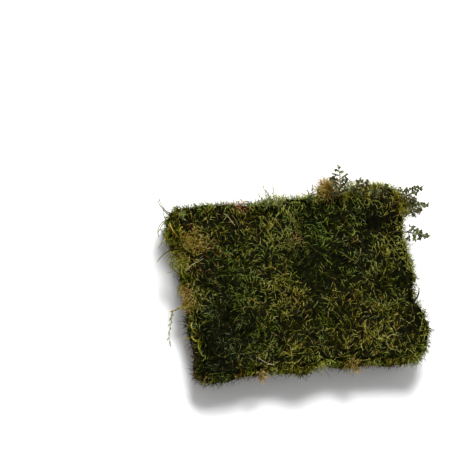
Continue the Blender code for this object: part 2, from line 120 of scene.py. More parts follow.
# Feather-moss fronds: (x, y, azimuth in degrees, reach out, rise, pairs of branches)
FRONDS = (
    (0.126, 0.184, 96.0, 0.062, 0.064, 7),
    (0.163, 0.188, 62.0, 0.032, 0.044, 4),
    (0.192, 0.184, 84.0, 0.028, 0.042, 4),
    (0.215, 0.176, 62.0, 0.018, 0.026, 4),
    (0.238, 0.180, 84.0, 0.018, 0.044, 3),
    (0.258, 0.154, 23.0, 0.084, 0.036, 7),
    (0.262, 0.130, 12.0, 0.088, 0.028, 8),
    (0.260, 0.100, -17.0, 0.086, 0.024, 8),
)
FROND_WIDEST = 0.42
FROND_SWELL = 0.42
FROND_LEAF = 0.0038
FROND_STEM_RADIUS = 0.0022
FROND_BRANCH_RADIUS = 0.0013
FROND_TWIG_RADIUS = 0.0012
FROND_BARE_SHARE = 0.20
FROND_LONG_REACH = 0.07
FROND_LONG_BARE_SHARE = 0.52
FROND_LAST_BRANCH = 0.94
FROND_BRANCH_SHARE = 0.34
FROND_STEM_TINT = 0.9
TWIG_PLACE = 0.45
TWIG_SHARE = 0.42
KNOB_SPACING = 0.0023
KNOB_SCATTER = 0.05
KNOB_LEAVES = 4
# A rounded leaf: points as shares of its length, half width and cup, its triangles, tints and values
LEAF_OUTLINE = (
    (0.0, 0.0, 0.0), (0.30, 0.85, 0.25), (0.30, -0.85, 0.25), (0.50, 0.0, 0.0),
    (0.70, 0.75, 0.20), (0.70, -0.75, 0.20), (1.0, 0.0, -0.1),
)
LEAF_FACES = ((0, 2, 3), (0, 3, 1), (2, 5, 3), (1, 3, 4), (3, 5, 6), (3, 6, 4))
LEAF_TINTS = (0.0, 0.02, -0.02, 0.0, 0.02, -0.02, 0.0)
LEAF_VALUES = (0.35, 0.6, 0.6, 0.7, 0.85, 0.85, 1.0)
STRAND_PLACE = (-0.250, -0.022)
STRAND_CLEARANCE = 0.030
STRAND_ARCH = 0.022
STRAND_HANG = 0.052
STRAND_SWEEP = 0.064
STRAND_SWAY = 0.003
STRAND_DRIFT = 0.004
STRAND_RADIUS = 0.0015
STRAND_STEM_RADIUS = 0.0014
STRAND_LEAVES = 190
STRAND_TWIGS = 24
# Thin upright shoots at the far edge: (x, y, azimuth in degrees, reach out, rise)
BLADES = (
    (-0.042, 0.180, 104.0, 0.046, 0.048),
    (-0.030, 0.184, 86.0, 0.044, 0.040),
    (-0.012, 0.182, 66.0, 0.022, 0.030),
    (0.060, 0.184, 80.0, 0.030, 0.036),
    (-0.240, 0.176, 108.0, 0.018, 0.022),
)
DARK_BLADES = (4,)
# The shoots of one spray: (turn from its direction in degrees, share of its length)
BLADE_SPRAY = ((0.0, 1.0), (26.0, 0.80), (-22.0, 0.66))
BLADE_LEAF = 0.0100
BLADE_LEAF_WIDTH = 0.0032
BLADE_LEAF_SPACING = 0.0027
BLADE_STEM_RADIUS = 0.0016
BLADE_LEAF_SPREAD = 1.1

# The palette: how far it is used along both axes, and a small step that keeps faces from being flat on it
TINT_RANGE = (0.012, 0.985)
PALETTE_RANGE = (0.010, 0.985)
PALETTE_STEP = 0.003
# Tints along its first axis
GREY_GREEN = 0.02
DEEP_GREEN = 0.16
LEAF_GREEN = 0.28
OLIVE = 0.42
YELLOW_GREEN = 0.52
YELLOW_OLIVE = 0.62
GOLDEN = 0.74
STRAW = 0.86
RED_BROWN = 0.98
OLD_TINTS = (OLIVE, GOLDEN, STRAW, RED_BROWN)
LONG_TINTS = (LEAF_GREEN, OLIVE, YELLOW_GREEN, YELLOW_OLIVE)
STRAY_TINTS = (OLIVE, YELLOW_GREEN, YELLOW_OLIVE, STRAW)

# A deep hole in the top: no shoots grow in it, and those round it lean away and are shorter
PIT_PLACE = (0.203, 0.115)
PIT_RADIUS = 0.022
PIT_REACH = 0.032
PIT_SHORTER = 0.35

# The shoots of the top: how many there are, where they root and how long they are
TOP_SHOOTS = 11500
TOP_PIECES = 3
TOP_SHARE = 0.965
TOP_LENGTH = (0.016, 0.032)
TOP_TURNS = (0.7, 2.3)
TOP_LEAVES = 12
ROOT_DEPTH = 0.010
ROOT_SPREAD = 0.002
SLOPE_STEP = 0.004
TUFT_SPACING = 0.025
TUFT_MARGINS = (0.02, 0.03)
TUFT_SCATTER = 0.45
TUFT_DOME = 0.006
# A slow flow of their directions: (wavelength, most turn in radians), and where it is read
FLOW_WAVE = (0.060, 5.0)
FLOW_SEED = 4.2
# Near the edge they lean outwards and root deeper
EDGE_START = 0.80
EDGE_BAND = 0.20
EDGE_LEAN = 0.35
EDGE_SINK = 0.010

# The shoots of the shoulder and the walls
SIDE_SHOOTS = 8500
SIDE_PIECES = 2
SIDE_LENGTH = (0.016, 0.023)
SIDE_LONG_SHARE = 0.08
SIDE_LONG_FACTOR = 1.5
SIDE_TURNS = (0.7, 2.2)
SIDE_LEAVES = 10
SIDE_SCALE = 1.15
TURN_STEP = 0.01
RIM_SHARE = 0.52
RIM_DOWN = (0.02, 0.50)
WALL_DOWN = (0.30, 0.98)
WALL_ROOT_DEPTH = 0.013
# Near the floor: room added to a shoot's height, how much of its length hangs, the least share left
LOW_ROOM, LOW_REACH, LOW_SHORTEST = 0.006, 0.75, 0.35
# Old ones lower down: their share, where they start, over what band, and how bright they are
OLD_SHARE, OLD_START, OLD_BAND, OLD_BRIGHT = 0.85, 0.35, 0.45, 0.85
# Pale ones on the rim, made brighter as painted backlight through their thin leaves: how much brighter
# they are, and their range
BACKLIGHT_GAIN = 0.30
BACKLIGHT_RANGE = (0.75, 1.0)

# The core and the old stems under it; the grain is (wavelength, height)
CORE_SINK = 0.009
CORE_WALL_SINK = 0.006
CORE_FLOOR = 0.0026
CORE_GRAIN = (0.009, 0.003)
CORE_SEED = 6.0
UNDERSIDE_SHOOTS = 700
UNDERSIDE_SHARE = 0.93
UNDERSIDE_HEIGHT = (0.0012, 0.0026)
UNDERSIDE_LENGTH = (0.015, 0.035)

# Loose shoots. The root values say how far up the palette the foot of a well-lit shoot is
LOOSE_ROOT_VALUE = 0.45
LONG_ROOT_VALUE = 0.25
LONG_SPRAY = 5
LONG_FAN = 28.0
LONG_RISE = 0.55
LONG_ROOT_DEPTH = 0.006
LONG_TURNS = (1.5, 3.0)
LONG_LEAVES = 46
LONG_SCALE = 1.9
LONG_STEM_RADIUS = 0.0016
STRAYS = 110
STRAY_SHARE = 0.92
STRAY_PIT_CLEARANCE = 2.5 * PIT_RADIUS
STRAY_HEIGHT = (0.003, 0.008)
STRAY_LENGTH = (0.028, 0.050)
STRAY_TURNS = (0.6, 2.4)
STRAY_LEAVES = 16
# Fuzzy tufts, mostly dry ones at the edges: (x, y, radius, shoots, azimuth, lean, length, tint)
FUZZY_TUFTS = (
    (0.116, 0.206, 0.011, 220, 95.0, 0.5, 0.045, 0.76),
    (0.110, 0.203, 0.020, 170, 95.0, 0.4, 0.036, 0.66),
    (0.100, 0.204, 0.012, 110, 95.0, 0.5, 0.024, 0.68),
    (0.160, 0.200, 0.030, 230, 92.0, 0.3, 0.038, 0.52),
    (0.214, 0.194, 0.024, 90, 85.0, 0.3, 0.034, 0.60),
    (-0.258, 0.012, 0.010, 90, 186.0, 0.9, 0.020, 0.77),
    (-0.260, -0.014, 0.012, 110, 196.0, 0.9, 0.021, 0.75),
    (-0.128, -0.190, 0.010, 50, -95.0, 1.2, 0.022, 0.77),
    (0.092, -0.192, 0.014, 70, -85.0, 1.2, 0.022, 0.76),
    (-0.228, 0.121, 0.024, 180, 180.0, 0.1, 0.020, 0.70),
    (0.290, 0.152, 0.026, 360, 20.0, 0.6, 0.044, 0.59),
    (-0.262, 0.078, 0.022, 130, 184.0, 0.9, 0.022, 0.57),
)
FUZZY_SCATTER = 0.5
FUZZY_LIMIT = 0.75
FUZZY_SHARE = 0.97
FUZZY_BRIGHT = (0.62, 0.96)
FUZZY_TURNS = (0.5, 2.2)
FUZZY_LEAVES = 12

# One shoot: its leaves and its stem
LEAF_LENGTH = 0.0024
LEAF_WIDTH = 0.0014
LEAF_SPREAD = 0.38
LEAF_LOOSENESS = 0.12
LEAF_CLOSING = 0.6
LEAF_JITTER = (0.2, 0.8)
LEAF_SCATTER = (0.8, 1.2)
STEM_RADIUS = 0.0004
STEM_TAPER = 0.6
GOLDEN_ANGLE = math.radians(137.5)
FLOOR_GAP = 0.0004
# Its places on the palette: shares of its brightness, what edges and tips add (the tips' gain is painted
# glints, where a leaf catches the light), and small steps of tint
STEM_BRIGHT = 0.75
LEAF_BRIGHT = 0.80
LEAF_EDGE_GAIN = 0.06
LEAF_TIP_GLINT = (0.10, 0.20)
LEAF_VALUE_SPREAD = 0.03
LEAF_TINT_STEP = 0.002
STEM_TINT_STEP = 0.0015
# How soon it turns from its dark root to its own tint: a higher power is sooner. The dark root is brown
# old stem, deepened as painted shade between the shoots
TINT_RISE = 1.4

# Patches of other tints: (x, y, radius, tint, strength)
PATCHES = (
    (0.080, 0.115, 0.080, DEEP_GREEN, 0.75),
    (0.105, 0.100, 0.045, LEAF_GREEN, 0.75),
    (0.024, 0.048, 0.038, DEEP_GREEN, 0.85),
    (0.130, 0.001, 0.035, LEAF_GREEN, 0.65),
    (0.217, -0.055, 0.028, LEAF_GREEN, 0.80),
    (-0.161, 0.002, 0.045, DEEP_GREEN, 0.65),
    (-0.124, -0.025, 0.025, LEAF_GREEN, 0.60),
    (-0.140, 0.110, 0.030, DEEP_GREEN, 0.50),
    (-0.004, 0.168, 0.030, YELLOW_GREEN, 0.90),
    (-0.015, 0.105, 0.022, YELLOW_GREEN, 0.70),
    (0.155, 0.118, 0.018, YELLOW_GREEN, 0.60),
    (0.276, 0.060, 0.030, YELLOW_GREEN, 0.90),
    (-0.272, 0.045, 0.028, YELLOW_GREEN, 0.80),
    (0.090, 0.200, 0.022, YELLOW_OLIVE, 0.80),
    (-0.061, 0.014, 0.036, YELLOW_OLIVE, 0.75),
    (-0.099, -0.044, 0.030, YELLOW_OLIVE, 0.60),
    (0.144, -0.131, 0.085, YELLOW_OLIVE, 0.70),
    (0.240, -0.130, 0.035, YELLOW_GREEN, 0.60),
    (0.290, 0.148, 0.030, YELLOW_OLIVE, 0.95),
    (-0.160, 0.145, 0.045, YELLOW_OLIVE, 0.45),
    (-0.218, 0.121, 0.030, GOLDEN, 0.95),
    (-0.255, 0.130, 0.024, GOLDEN, 0.80),
    (-0.251, -0.188, 0.022, GOLDEN, 0.70),
    (0.168, -0.074, 0.012, GOLDEN, 0.80),
    (0.118, 0.205, 0.024, STRAW, 0.80),
    (-0.266, -0.004, 0.014, STRAW, 1.00),
    (-0.130, -0.203, 0.013, STRAW, 0.80),
    (0.094, -0.206, 0.022, STRAW, 0.70),
    (-0.110, 0.190, 0.022, RED_BROWN, 0.85),
    (-0.225, 0.155, 0.016, RED_BROWN, 0.55),
    (-0.183, 0.096, 0.018, RED_BROWN, 0.45),
    (-0.234, 0.066, 0.026, RED_BROWN, 0.80),
    (0.019, 0.100, 0.012, RED_BROWN, 0.90),
    (0.159, 0.090, 0.014, RED_BROWN, 0.50),
    (0.268, 0.180, 0.020, RED_BROWN, 0.60),
    (-0.071, -0.126, 0.010, RED_BROWN, 0.90),
    (-0.114, -0.180, 0.012, RED_BROWN, 0.80),
    (-0.187, -0.182, 0.013, RED_BROWN, 0.80),
    (-0.215, -0.090, 0.070, GREY_GREEN, 0.75),
    (-0.225, -0.145, 0.050, GREY_GREEN, 0.70),
    (0.158, 0.036, 0.030, GREY_GREEN, 0.45),
    (0.205, 0.165, 0.035, GREY_GREEN, 0.45),
    (-0.018, -0.085, 0.035, GREY_GREEN, 0.40),
)
# Lighter and darker places: painted shade in the pit, along the right edge and in the far-left and
# near-left corners, which lie in shade; the other spots are lighter or darker moss: (x, y, radius, share
# added)
PAINTED_SHADE_AND_TONE = (
    (0.203, 0.113, 0.030, -0.98),
    (0.165, 0.128, 0.022, 0.22),
    (-0.222, -0.130, 0.080, -0.50),
    (-0.240, 0.060, 0.024, -0.50),
    (-0.235, 0.180, 0.032, -0.42),
    (0.030, 0.042, 0.036, -0.30),
    (0.158, 0.036, 0.028, -0.30),
    (-0.018, -0.086, 0.032, -0.30),
    (0.262, -0.022, 0.030, -0.42),
    (0.205, 0.165, 0.030, -0.08),
    (0.150, -0.130, 0.090, 0.26),
    (-0.210, 0.123, 0.036, 0.35),
    (-0.110, 0.190, 0.024, 0.50),
    (-0.006, 0.160, 0.048, 0.85),
    (0.040, -0.002, 0.050, -0.14),
    (-0.185, 0.020, 0.036, -0.18),
    (0.290, 0.148, 0.030, 0.45),
    (0.276, 0.060, 0.030, 0.45),
    (0.105, 0.105, 0.045, 0.16),
    (-0.070, 0.012, 0.036, 0.14),
    (0.217, -0.055, 0.024, 0.20),
)
# How the tints and the brightness vary; noise is (wavelength, height), and the seeds say where it is read
TINT_MIDDLE = 0.37
TINT_NOISE = ((0.090, 0.36), (0.032, 0.30))
TINT_SPREAD = 0.05
SHADE_NOISE = ((0.080, 0.40), (0.028, 0.50))
TINT_SEED, SHADE_SEED = 8.1, 5.5
BRIGHT_MIDDLE = 0.71
BRIGHT_SPREAD = 0.22
BRIGHT_LEAST = 0.08
GLINT = 0.15
GLINT_SHARE = 0.10
# Where the rim has pale shoots, lit with painted backlight, among the others: (x, y, radius, share)
RIM_PAINTED_BACKLIGHT = (
    (0.180, 0.200, 0.110, 0.90),
    (0.010, 0.200, 0.090, 0.60),
    (0.290, 0.110, 0.100, 0.95),
    (0.270, -0.130, 0.070, 0.45),
    (-0.275, 0.070, 0.090, 0.90),
    (-0.250, 0.195, 0.060, 0.50),
    (-0.030, -0.200, 0.140, 0.35),
)

# Colour ramps as (place, colour)
# Dark roots: brown old stems, made darker still as painted shade in the gaps between the shoots
MOSS_ROOTS_AND_SHADE = (
    (0.00, (0.004, 0.006, 0.002)),
    (0.38, (0.006, 0.006, 0.001)),
    (0.74, (0.020, 0.012, 0.003)),
    (1.00, (0.018, 0.008, 0.004)),
)
MOSS_BODIES = (
    (GREY_GREEN, (0.095, 0.115, 0.036)),
    (DEEP_GREEN, (0.062, 0.118, 0.004)),
    (LEAF_GREEN, (0.110, 0.165, 0.003)),
    (OLIVE, (0.150, 0.148, 0.006)),
    (YELLOW_GREEN, (0.215, 0.245, 0.006)),
    (YELLOW_OLIVE, (0.290, 0.250, 0.008)),
    (GOLDEN, (0.330, 0.190, 0.012)),
    (STRAW, (0.480, 0.350, 0.130)),
    (RED_BROWN, (0.240, 0.070, 0.020)),
)
# Pale tips: the moss's own paler tips together with painted highlights where light would glint on them
MOSS_TIPS_AND_HIGHLIGHTS = (
    (GREY_GREEN, (0.420, 0.470, 0.270)),
    (DEEP_GREEN, (0.300, 0.430, 0.110)),
    (LEAF_GREEN, (0.440, 0.560, 0.110)),
    (OLIVE, (0.560, 0.560, 0.230)),
    (YELLOW_GREEN, (0.690, 0.740, 0.200)),
    (YELLOW_OLIVE, (0.800, 0.710, 0.220)),
    (GOLDEN, (0.860, 0.610, 0.210)),
    (STRAW, (0.930, 0.780, 0.460)),
    (RED_BROWN, (0.640, 0.300, 0.150)),
)
FEATHER_ROOTS = ((0.0, (0.030, 0.022, 0.012)), (1.0, (0.050, 0.036, 0.018)))
FEATHER_BODIES = ((0.0, (0.070, 0.104, 0.050)), (0.5, (0.110, 0.148, 0.058)), (1.0, (0.170, 0.200, 0.066)))
FEATHER_TIPS = ((0.0, (0.170, 0.220, 0.135)), (0.5, (0.240, 0.295, 0.155)), (1.0, (0.350, 0.390, 0.165)))
BODY_SHARE = ((0.0, (0.0,) * 3), (0.34, (0.03,) * 3), (0.58, (0.66,) * 3), (0.74, (1.0,) * 3))
TIP_SHARE = ((0.57, (0.0,) * 3), (0.96, (1.0,) * 3))
# Painted shade: the near-black of the felt deep under the shoots
CORE_PAINTED_SHADE = ((0.30, (0.002, 0.002, 0.001)), (0.52, (0.004, 0.005, 0.002)), (0.74, (0.014, 0.010, 0.005)))
CORE_HUMUS = ((0.30, (0.012, 0.008, 0.004)), (0.52, (0.045, 0.028, 0.013)), (0.74, (0.130, 0.082, 0.040)))
# Between these heights in metres the felt turns from brown humus to dark moss in painted shade
HUMUS_HEIGHTS = (0.004, 0.044)
LIVING_ROUGHNESS = 0.55

KEY_LIGHT_PLACE = (0.1, 1.5, 2.6)
# The camera, round the middle of the rim of the mat's top
RIM_HEIGHT = 0.108
CAMERA_PLACE = Vector((-1.4383, -0.8246, 3.2791))
CAMERA_AIM = Vector((-0.1500, 0.1490, 0.0))
CAMERA_UP = Vector((0.0879, 0.9450, 0.3152))
CAMERA_LENS = 132.0

MIDDLE = np.array(frame["record"]["mounts"][0]["pos_m"])
UP = np.array([0.0, 0.0, 1.0])


def lumps(x, y, layers, seed):
    """Smooth noise of several wavelengths at a point of the plan."""
    return sum(
        height * noise.noise(Vector((x / length, y / length, seed)))
        for length, height in layers
    )


def bump(x, y, feature):
    """A round mound: its height at this point."""
    centre_x, centre_y, radius, height = feature
    distance = math.hypot(x - centre_x, y - centre_y)
    return height * math.exp(-((distance / radius) ** 2))


def bumps(x, y, features):
    """Several round mounds together."""
    return sum(bump(x, y, feature) for feature in features)


def outline_point(u, v):
    """The mat's edge in the direction of a point on the edge of the square from -1 to 1."""
    share = (abs(u) ** CORNER_POWER + abs(v) ** CORNER_POWER) ** (-1.0 / CORNER_POWER)
    x = HALF_LENGTH * u * share
    y = HALF_WIDTH * v * share
    outward = Vector((u ** OUTWARD_POWER / HALF_LENGTH, v ** OUTWARD_POWER / HALF_WIDTH)).normalized()
    distance = lumps(x, y, EDGE_LUMPS, EDGE_SEED) + bumps(x, y, EDGE_BULGES)
    return Vector((x, y)) + outward * distance


def plan_point(u, v):
    """A point of the square from -1 to 1, moved into the mat's rounded plan."""
    ring = max(abs(u), abs(v))
    if ring == 0.0:
        return Vector((0.0, 0.0))
    return outline_point(u / ring, v / ring) * ring


def plan_points(square, share):
    """Points of the square from -1 to 1, moved into this share of the mat's plan."""
    return np.array([plan_point(u, v) * share for u, v in square])


def top_height(x, y):
    """The height of the mat's top, without its tufts."""
    height = MEAN_HEIGHT + lumps(x, y, TOP_LUMPS, TOP_SEED)
    return height + bumps(x, y, MOUNDS) - bumps(x, y, HOLLOWS)


def wall_bulge(x, y, z):
    """How far the walls stand out or draw in at a point."""
    return sum(
        height * noise.noise(Vector((x / length, y / length, z / length + WALL_SEED)))
        for length, height in WALL_LUMPS
    )


def square_point(turn):
    """A point on the edge of the square from -1 to 1, for a turn from 0 to 4."""
    side = int(turn) % 4
    along = 2.0 * (turn - math.floor(turn)) - 1.0
    return ((along, -1.0), (1.0, along), (-along, 1.0), (-1.0, -along))[side]


def side_point(turn, down):
    """A point of the mat's side: down is 0 where the flat top ends and 1 at the base."""
    u, v = square_point(turn)
    rim = outline_point(u, v)
    height = top_height(rim.x * FLAT_SHARE, rim.y * FLAT_SHARE)
    if down < SHOULDER_END:
        angle = down / SHOULDER_END * math.pi / 2.0
        share = FLAT_SHARE + (1.0 - FLAT_SHARE) * math.sin(angle)
        z = height - SHOULDER_DROP * (1.0 - math.cos(angle))
    else:
        level = (down - SHOULDER_END) / (1.0 - SHOULDER_END)
        share = 1.0 + (BASE_SHARE - 1.0) * level
        z = (height - SHOULDER_DROP) * (1.0 - level)
    point = rim * share
    point += point.normalized() * wall_bulge(point.x, point.y, z)
    return Vector((point.x, point.y, z))


def sampled(function, points, *more):
    """What a function gives at each of these points of the plan."""
    return np.array([function(x, y, *more) for x, y in points])


def unit(vectors):
    """The vectors, each made one long."""
    size = np.linalg.norm(vectors, axis=-1, keepdims=True)
    return vectors / np.maximum(size, 1e-12)


def across(vectors, axes):
    """What of each vector is square to its axis, made one long."""
    inside = (vectors * axes).sum(axis=-1, keepdims=True)
    return unit(vectors - inside * axes)


def level_ways(angles):
    """Level directions at these angles."""
    return np.stack([np.cos(angles), np.sin(angles), np.zeros(len(angles))], axis=-1)


def either_side(count, rng):
    """Left or right by chance, as -1 or 1."""
    return rng.choice([-1.0, 1.0], (count, 1))


def mixed_tints(tints, spread, count, rng):
    """Tints picked by chance from these, each a little off."""
    return rng.choice(tints, count) + rng.normal(0.0, spread, count)


def arc_path(roots, directions, bends, turns, lengths):
    """Arcs that start at roots along directions and turn towards bends: a function of the share along."""

    def at(shares):
        angle = turns[:, None] * shares
        sine, cosine = np.sin(angle)[..., None], np.cos(angle)[..., None]
        radius = (lengths / turns)[:, None, None]
        forward, side = directions[:, None, :], bends[:, None, :]
        points = roots[:, None, :] + radius * (forward * sine + side * (1.0 - cosine))
        along = forward * cosine + side * sine
        normals = side * cosine - forward * sine
        return points, along, normals

    return at


def repeated(faces, size, count):
    """The triangles of one shoot or leaf of this many points, for each of a number of them."""
    return (np.array(faces)[None] + size * np.arange(count)[:, None, None]).reshape(-1, 3)


def risen(places, bright, look):
    """How far up the palette a shoot is at these shares of its length."""
    rise = 1.0 - (1.0 - places) ** TINT_RISE
    return look["root_value"] + (bright * look["bright"][:, None] - look["root_value"]) * rise


def stem_mesh(path, look):
    """The stems of the shoots: thin three-sided tapers, closed at their tips."""
    count, joints = look["count"], look["joints"]
    shares = np.broadcast_to(np.linspace(0.0, 1.0, joints), (count, joints))
    points, along, normals = path(shares)
    binormals = np.cross(along, normals)
    corners = (np.arange(3) * (2.0 * np.pi / 3.0))[:, None]
    ring = np.cos(corners) * normals[:, :, None] + np.sin(corners) * binormals[:, :, None]
    radius = look["stem_radius"][:, None] * (1.0 - STEM_TAPER * shares)
    vertices = points[:, :, None] + ring * radius[:, :, None, None]
    u = look["tint"][:, None, None] + STEM_TINT_STEP * np.array([-1.0, 0.0, 1.0])
    v = np.clip(risen(shares, STEM_BRIGHT, look), *PALETTE_RANGE)[:, :, None]
    v = v + np.array([0.0, PALETTE_STEP, 0.0])
    palette = np.stack([np.broadcast_to(u, v.shape), v], axis=-1)
    low = 3 * np.arange(joints - 1)[:, None]
    here = np.arange(3)[None, :]
    after = (here + 1) % 3
    first = np.stack([low + here, low + after, low + 3 + after], axis=-1).reshape(-1, 3)
    second = np.stack([low + here, low + 3 + after, low + 3 + here], axis=-1).reshape(-1, 3)
    cap = 3 * (joints - 1) + np.array([[0, 1, 2]])
    faces = np.concatenate([first, second, cap])
    return vertices.reshape(count, -1, 3), palette.reshape(count, -1, 2), faces


def leaf_mesh(path, look, rng):
    """The leaves of the shoots: a spiral of pointed, folded leaves that close in at the tip."""
    count, leaves, first = look["count"], look["leaves"], look["first_leaf"]
    shape = (count, leaves)
    places = first + (1.0 - first) * (np.arange(leaves) + rng.uniform(*LEAF_JITTER, shape)) / leaves
    points, along, normals = path(places)
    binormals = np.cross(along, normals)
    angle = np.arange(leaves) * GOLDEN_ANGLE + rng.uniform(0.0, 2.0 * np.pi, (count, 1))
    out = np.cos(angle)[..., None] * normals + np.sin(angle)[..., None] * binormals
    spread = look["spread"] * (1.0 - LEAF_CLOSING * places ** 4)
    spread = (spread + rng.normal(0.0, LEAF_LOOSENESS, shape))[..., None]
    blade = along * np.cos(spread) + out * np.sin(spread)
    outer = out * np.cos(spread) - along * np.sin(spread)
    side = np.cross(along, out)
    size = 1.0 - look["tip_taper"] * places ** 3
    length = (look["leaf_length"][:, None] * size * rng.uniform(*LEAF_SCATTER, shape))[..., None]
    half = (0.5 * look["leaf_width"][:, None] * size)[..., None]
    middle = points + blade * look["widest"] * length - outer * look["fold"] * half
    tip = points + blade * length
    vertices = np.stack([points, middle + side * half, tip, middle - side * half], axis=2)
    u = look["tint"][:, None, None] + LEAF_TINT_STEP * np.array([0.0, 1.0, 0.0, -1.0])
    inner = risen(places, LEAF_BRIGHT, look) + rng.normal(0.0, LEAF_VALUE_SPREAD, shape)
    # Painted glints: by chance a leaf tip is made much lighter, as where it catches the light
    gain, chance = LEAF_TIP_GLINT
    tip_value = inner + look["bright"][:, None] * (gain + chance * rng.random(shape) ** 2)
    v = np.stack([inner, inner + LEAF_EDGE_GAIN, tip_value, inner + LEAF_EDGE_GAIN], axis=2)
    v = np.clip(v, *PALETTE_RANGE) + np.array([0.0, 0.0, PALETTE_STEP, 0.0])
    palette = np.stack([np.broadcast_to(u, v.shape), v], axis=-1)
    faces = repeated([[0, 1, 2], [0, 2, 3]], 4, leaves)
    return vertices.reshape(count, -1, 3), palette.reshape(count, -1, 2), faces


def shoot_mesh(path, look, rng):
    """Leafy shoots: their vertices, their triangles and each vertex's place on the palette."""
    stem, stem_palette, stem_faces = stem_mesh(path, look)
    leaf, leaf_palette, leaf_faces = leaf_mesh(path, look, rng)
    vertices = np.concatenate([stem, leaf], axis=1)
    palette = np.concatenate([stem_palette, leaf_palette], axis=1)
    faces = np.concatenate([stem_faces, leaf_faces + stem.shape[1]])
    faces = repeated(faces, vertices.shape[1], look["count"])
    return vertices.reshape(-1, 3), faces, palette.reshape(-1, 2)


def joined(parts):
    """Several (vertices, triangles, palette places) as one."""
    vertices, faces, palettes, first = [], [], [], 0
    for points, triangles, palette in parts:
        vertices.append(points)
        faces.append(triangles + first)
        palettes.append(palette)
        first += len(points)
    return np.concatenate(vertices), np.concatenate(faces), np.concatenate(palettes)


def add_object(name, data):
    """An object in the scene."""
    obj = bpy.data.objects.new(name, data)
    bpy.context.scene.collection.objects.link(obj)
    return obj


def add_piece(name, shape, material, slot, *replaced):
    """Makes one piece of the clump, in the frame and above the floor, and hides the solids that it stands
    for.
    """
    vertices, faces, palette = shape
    vertices = vertices + MIDDLE
    vertices[:, 2] = np.maximum(vertices[:, 2], FLOOR_GAP)
    mesh = bpy.data.meshes.new(name)
    mesh.vertices.add(len(vertices))
    mesh.vertices.foreach_set("co", vertices.astype(np.float32).ravel())
    mesh.loops.add(faces.size)
    mesh.loops.foreach_set("vertex_index", faces.astype(np.int32).ravel())
    mesh.polygons.add(len(faces))
    mesh.polygons.foreach_set("loop_start", np.arange(len(faces), dtype=np.int32) * 3)
    mesh.update(calc_edges=True)
    mesh.polygons.foreach_set("use_smooth", np.ones(len(faces), bool))
    if palette is not None:
        layer = mesh.uv_layers.new(name="OFBake")
        layer.data.foreach_set("uv", palette[faces.ravel()].astype(np.float32).ravel())
    mesh.validate()
    mesh.materials.append(material)
    obj = add_object(name, mesh)
    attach(obj, "root")
    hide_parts(*replaced)


def new_material(name, roughness):
    """A matt material and its shader."""
    made = bpy.data.materials.new(name)
    made.use_nodes = True
    shader = made.node_tree.nodes["Principled BSDF"]
    shader.inputs["Roughness"].default_value = roughness
    shader.inputs["Specular IOR Level"].default_value = 0.0
    return made, shader


def add_node(material, kind, **values):
    """A node of a material, with these settings."""
    made = material.node_tree.nodes.new(kind)
    for name, value in values.items():
        setattr(made, name, value)
    return made


def add_ramp(material, value, stops):
    """The colour that a ramp with these (place, colour) stops gives for a value."""
    ramp = add_node(material, "ShaderNodeValToRGB")
    elements = ramp.color_ramp.elements
    for place, colour in stops[2:]:
        elements.new(place)
    for element, (place, colour) in zip(elements, sorted(stops)):
        element.position = place
        element.color = (*colour, 1.0)
    material.node_tree.links.new(value, ramp.inputs["Fac"])
    return ramp.outputs["Color"]


def add_mix(material, share, first, second):
    """A mix of two colours by a third."""
    link = material.node_tree.links.new
    mix = add_node(material, "ShaderNodeMix", data_type="RGBA")
    link(share, mix.inputs["Factor"])
    link(first, mix.inputs["A"])
    link(second, mix.inputs["B"])
    return mix.outputs["Result"]


def add_split(material, vector):
    """The three parts of a vector."""
    split = add_node(material, "ShaderNodeSeparateXYZ")
    material.node_tree.links.new(vector, split.inputs[0])
    return split.outputs


def add_spots(material, shader, scale, detail, strength, depth):
    """Noise over a material, with relief from it: the noise and the places that it is read at."""
    link = material.node_tree.links.new
    places = add_node(material, "ShaderNodeTexCoord").outputs["Object"]
    spots = add_node(material, "ShaderNodeTexNoise")
    spots.inputs["Scale"].default_value = scale
    spots.inputs["Detail"].default_value = detail
    link(places, spots.inputs["Vector"])
    grain = add_node(material, "ShaderNodeBump")
    grain.inputs["Strength"].default_value = strength
    grain.inputs["Distance"].default_value = depth
    link(spots.outputs["Fac"], grain.inputs["Height"])
    link(grain.outputs["Normal"], shader.inputs["Normal"])
    return spots.outputs["Fac"], places


def palette_material(name, roots, bodies, tips):
    """A living surface: the palette's first axis is the tint, its second goes from the dark root, partly
    painted shade, to the pale tip, partly painted highlight.
    """
    made, shader = new_material(name, LIVING_ROUGHNESS)
    places = add_node(made, "ShaderNodeUVMap", uv_map="OFBake")
    split = add_split(made, places.outputs["UV"])
    root, body, tip = (add_ramp(made, split["X"], stops) for stops in (roots, bodies, tips))
    body_share, tip_share = (add_ramp(made, split["Y"], stops) for stops in (BODY_SHARE, TIP_SHARE))
    lower = add_mix(made, body_share, root, body)
    colour = add_mix(made, tip_share, lower, tip)
    made.node_tree.links.new(colour, shader.inputs["Base Color"])
    return made


def core_material():
    """Old moss in painted shade: nearly black, mottled with dark green, and brown with humus at the base.
    """
    made, shader = new_material("felted_core", 1.0)
    link = made.node_tree.links.new
    spots, places = add_spots(made, shader, 90.0, 5.0, 0.6, 0.002)
    low = add_node(made, "ShaderNodeMapRange")
    for socket, value in zip(("From Min", "From Max", "To Min", "To Max"), (*HUMUS_HEIGHTS, 1.0, 0.0)):
        low.inputs[socket].default_value = value
    link(add_split(made, places)["Z"], low.inputs["Value"])
    shade_colour = add_ramp(made, spots, CORE_PAINTED_SHADE)
    humus = add_ramp(made, spots, CORE_HUMUS)
    link(add_mix(made, low.outputs["Result"], shade_colour, humus), shader.inputs["Base Color"])
    return made


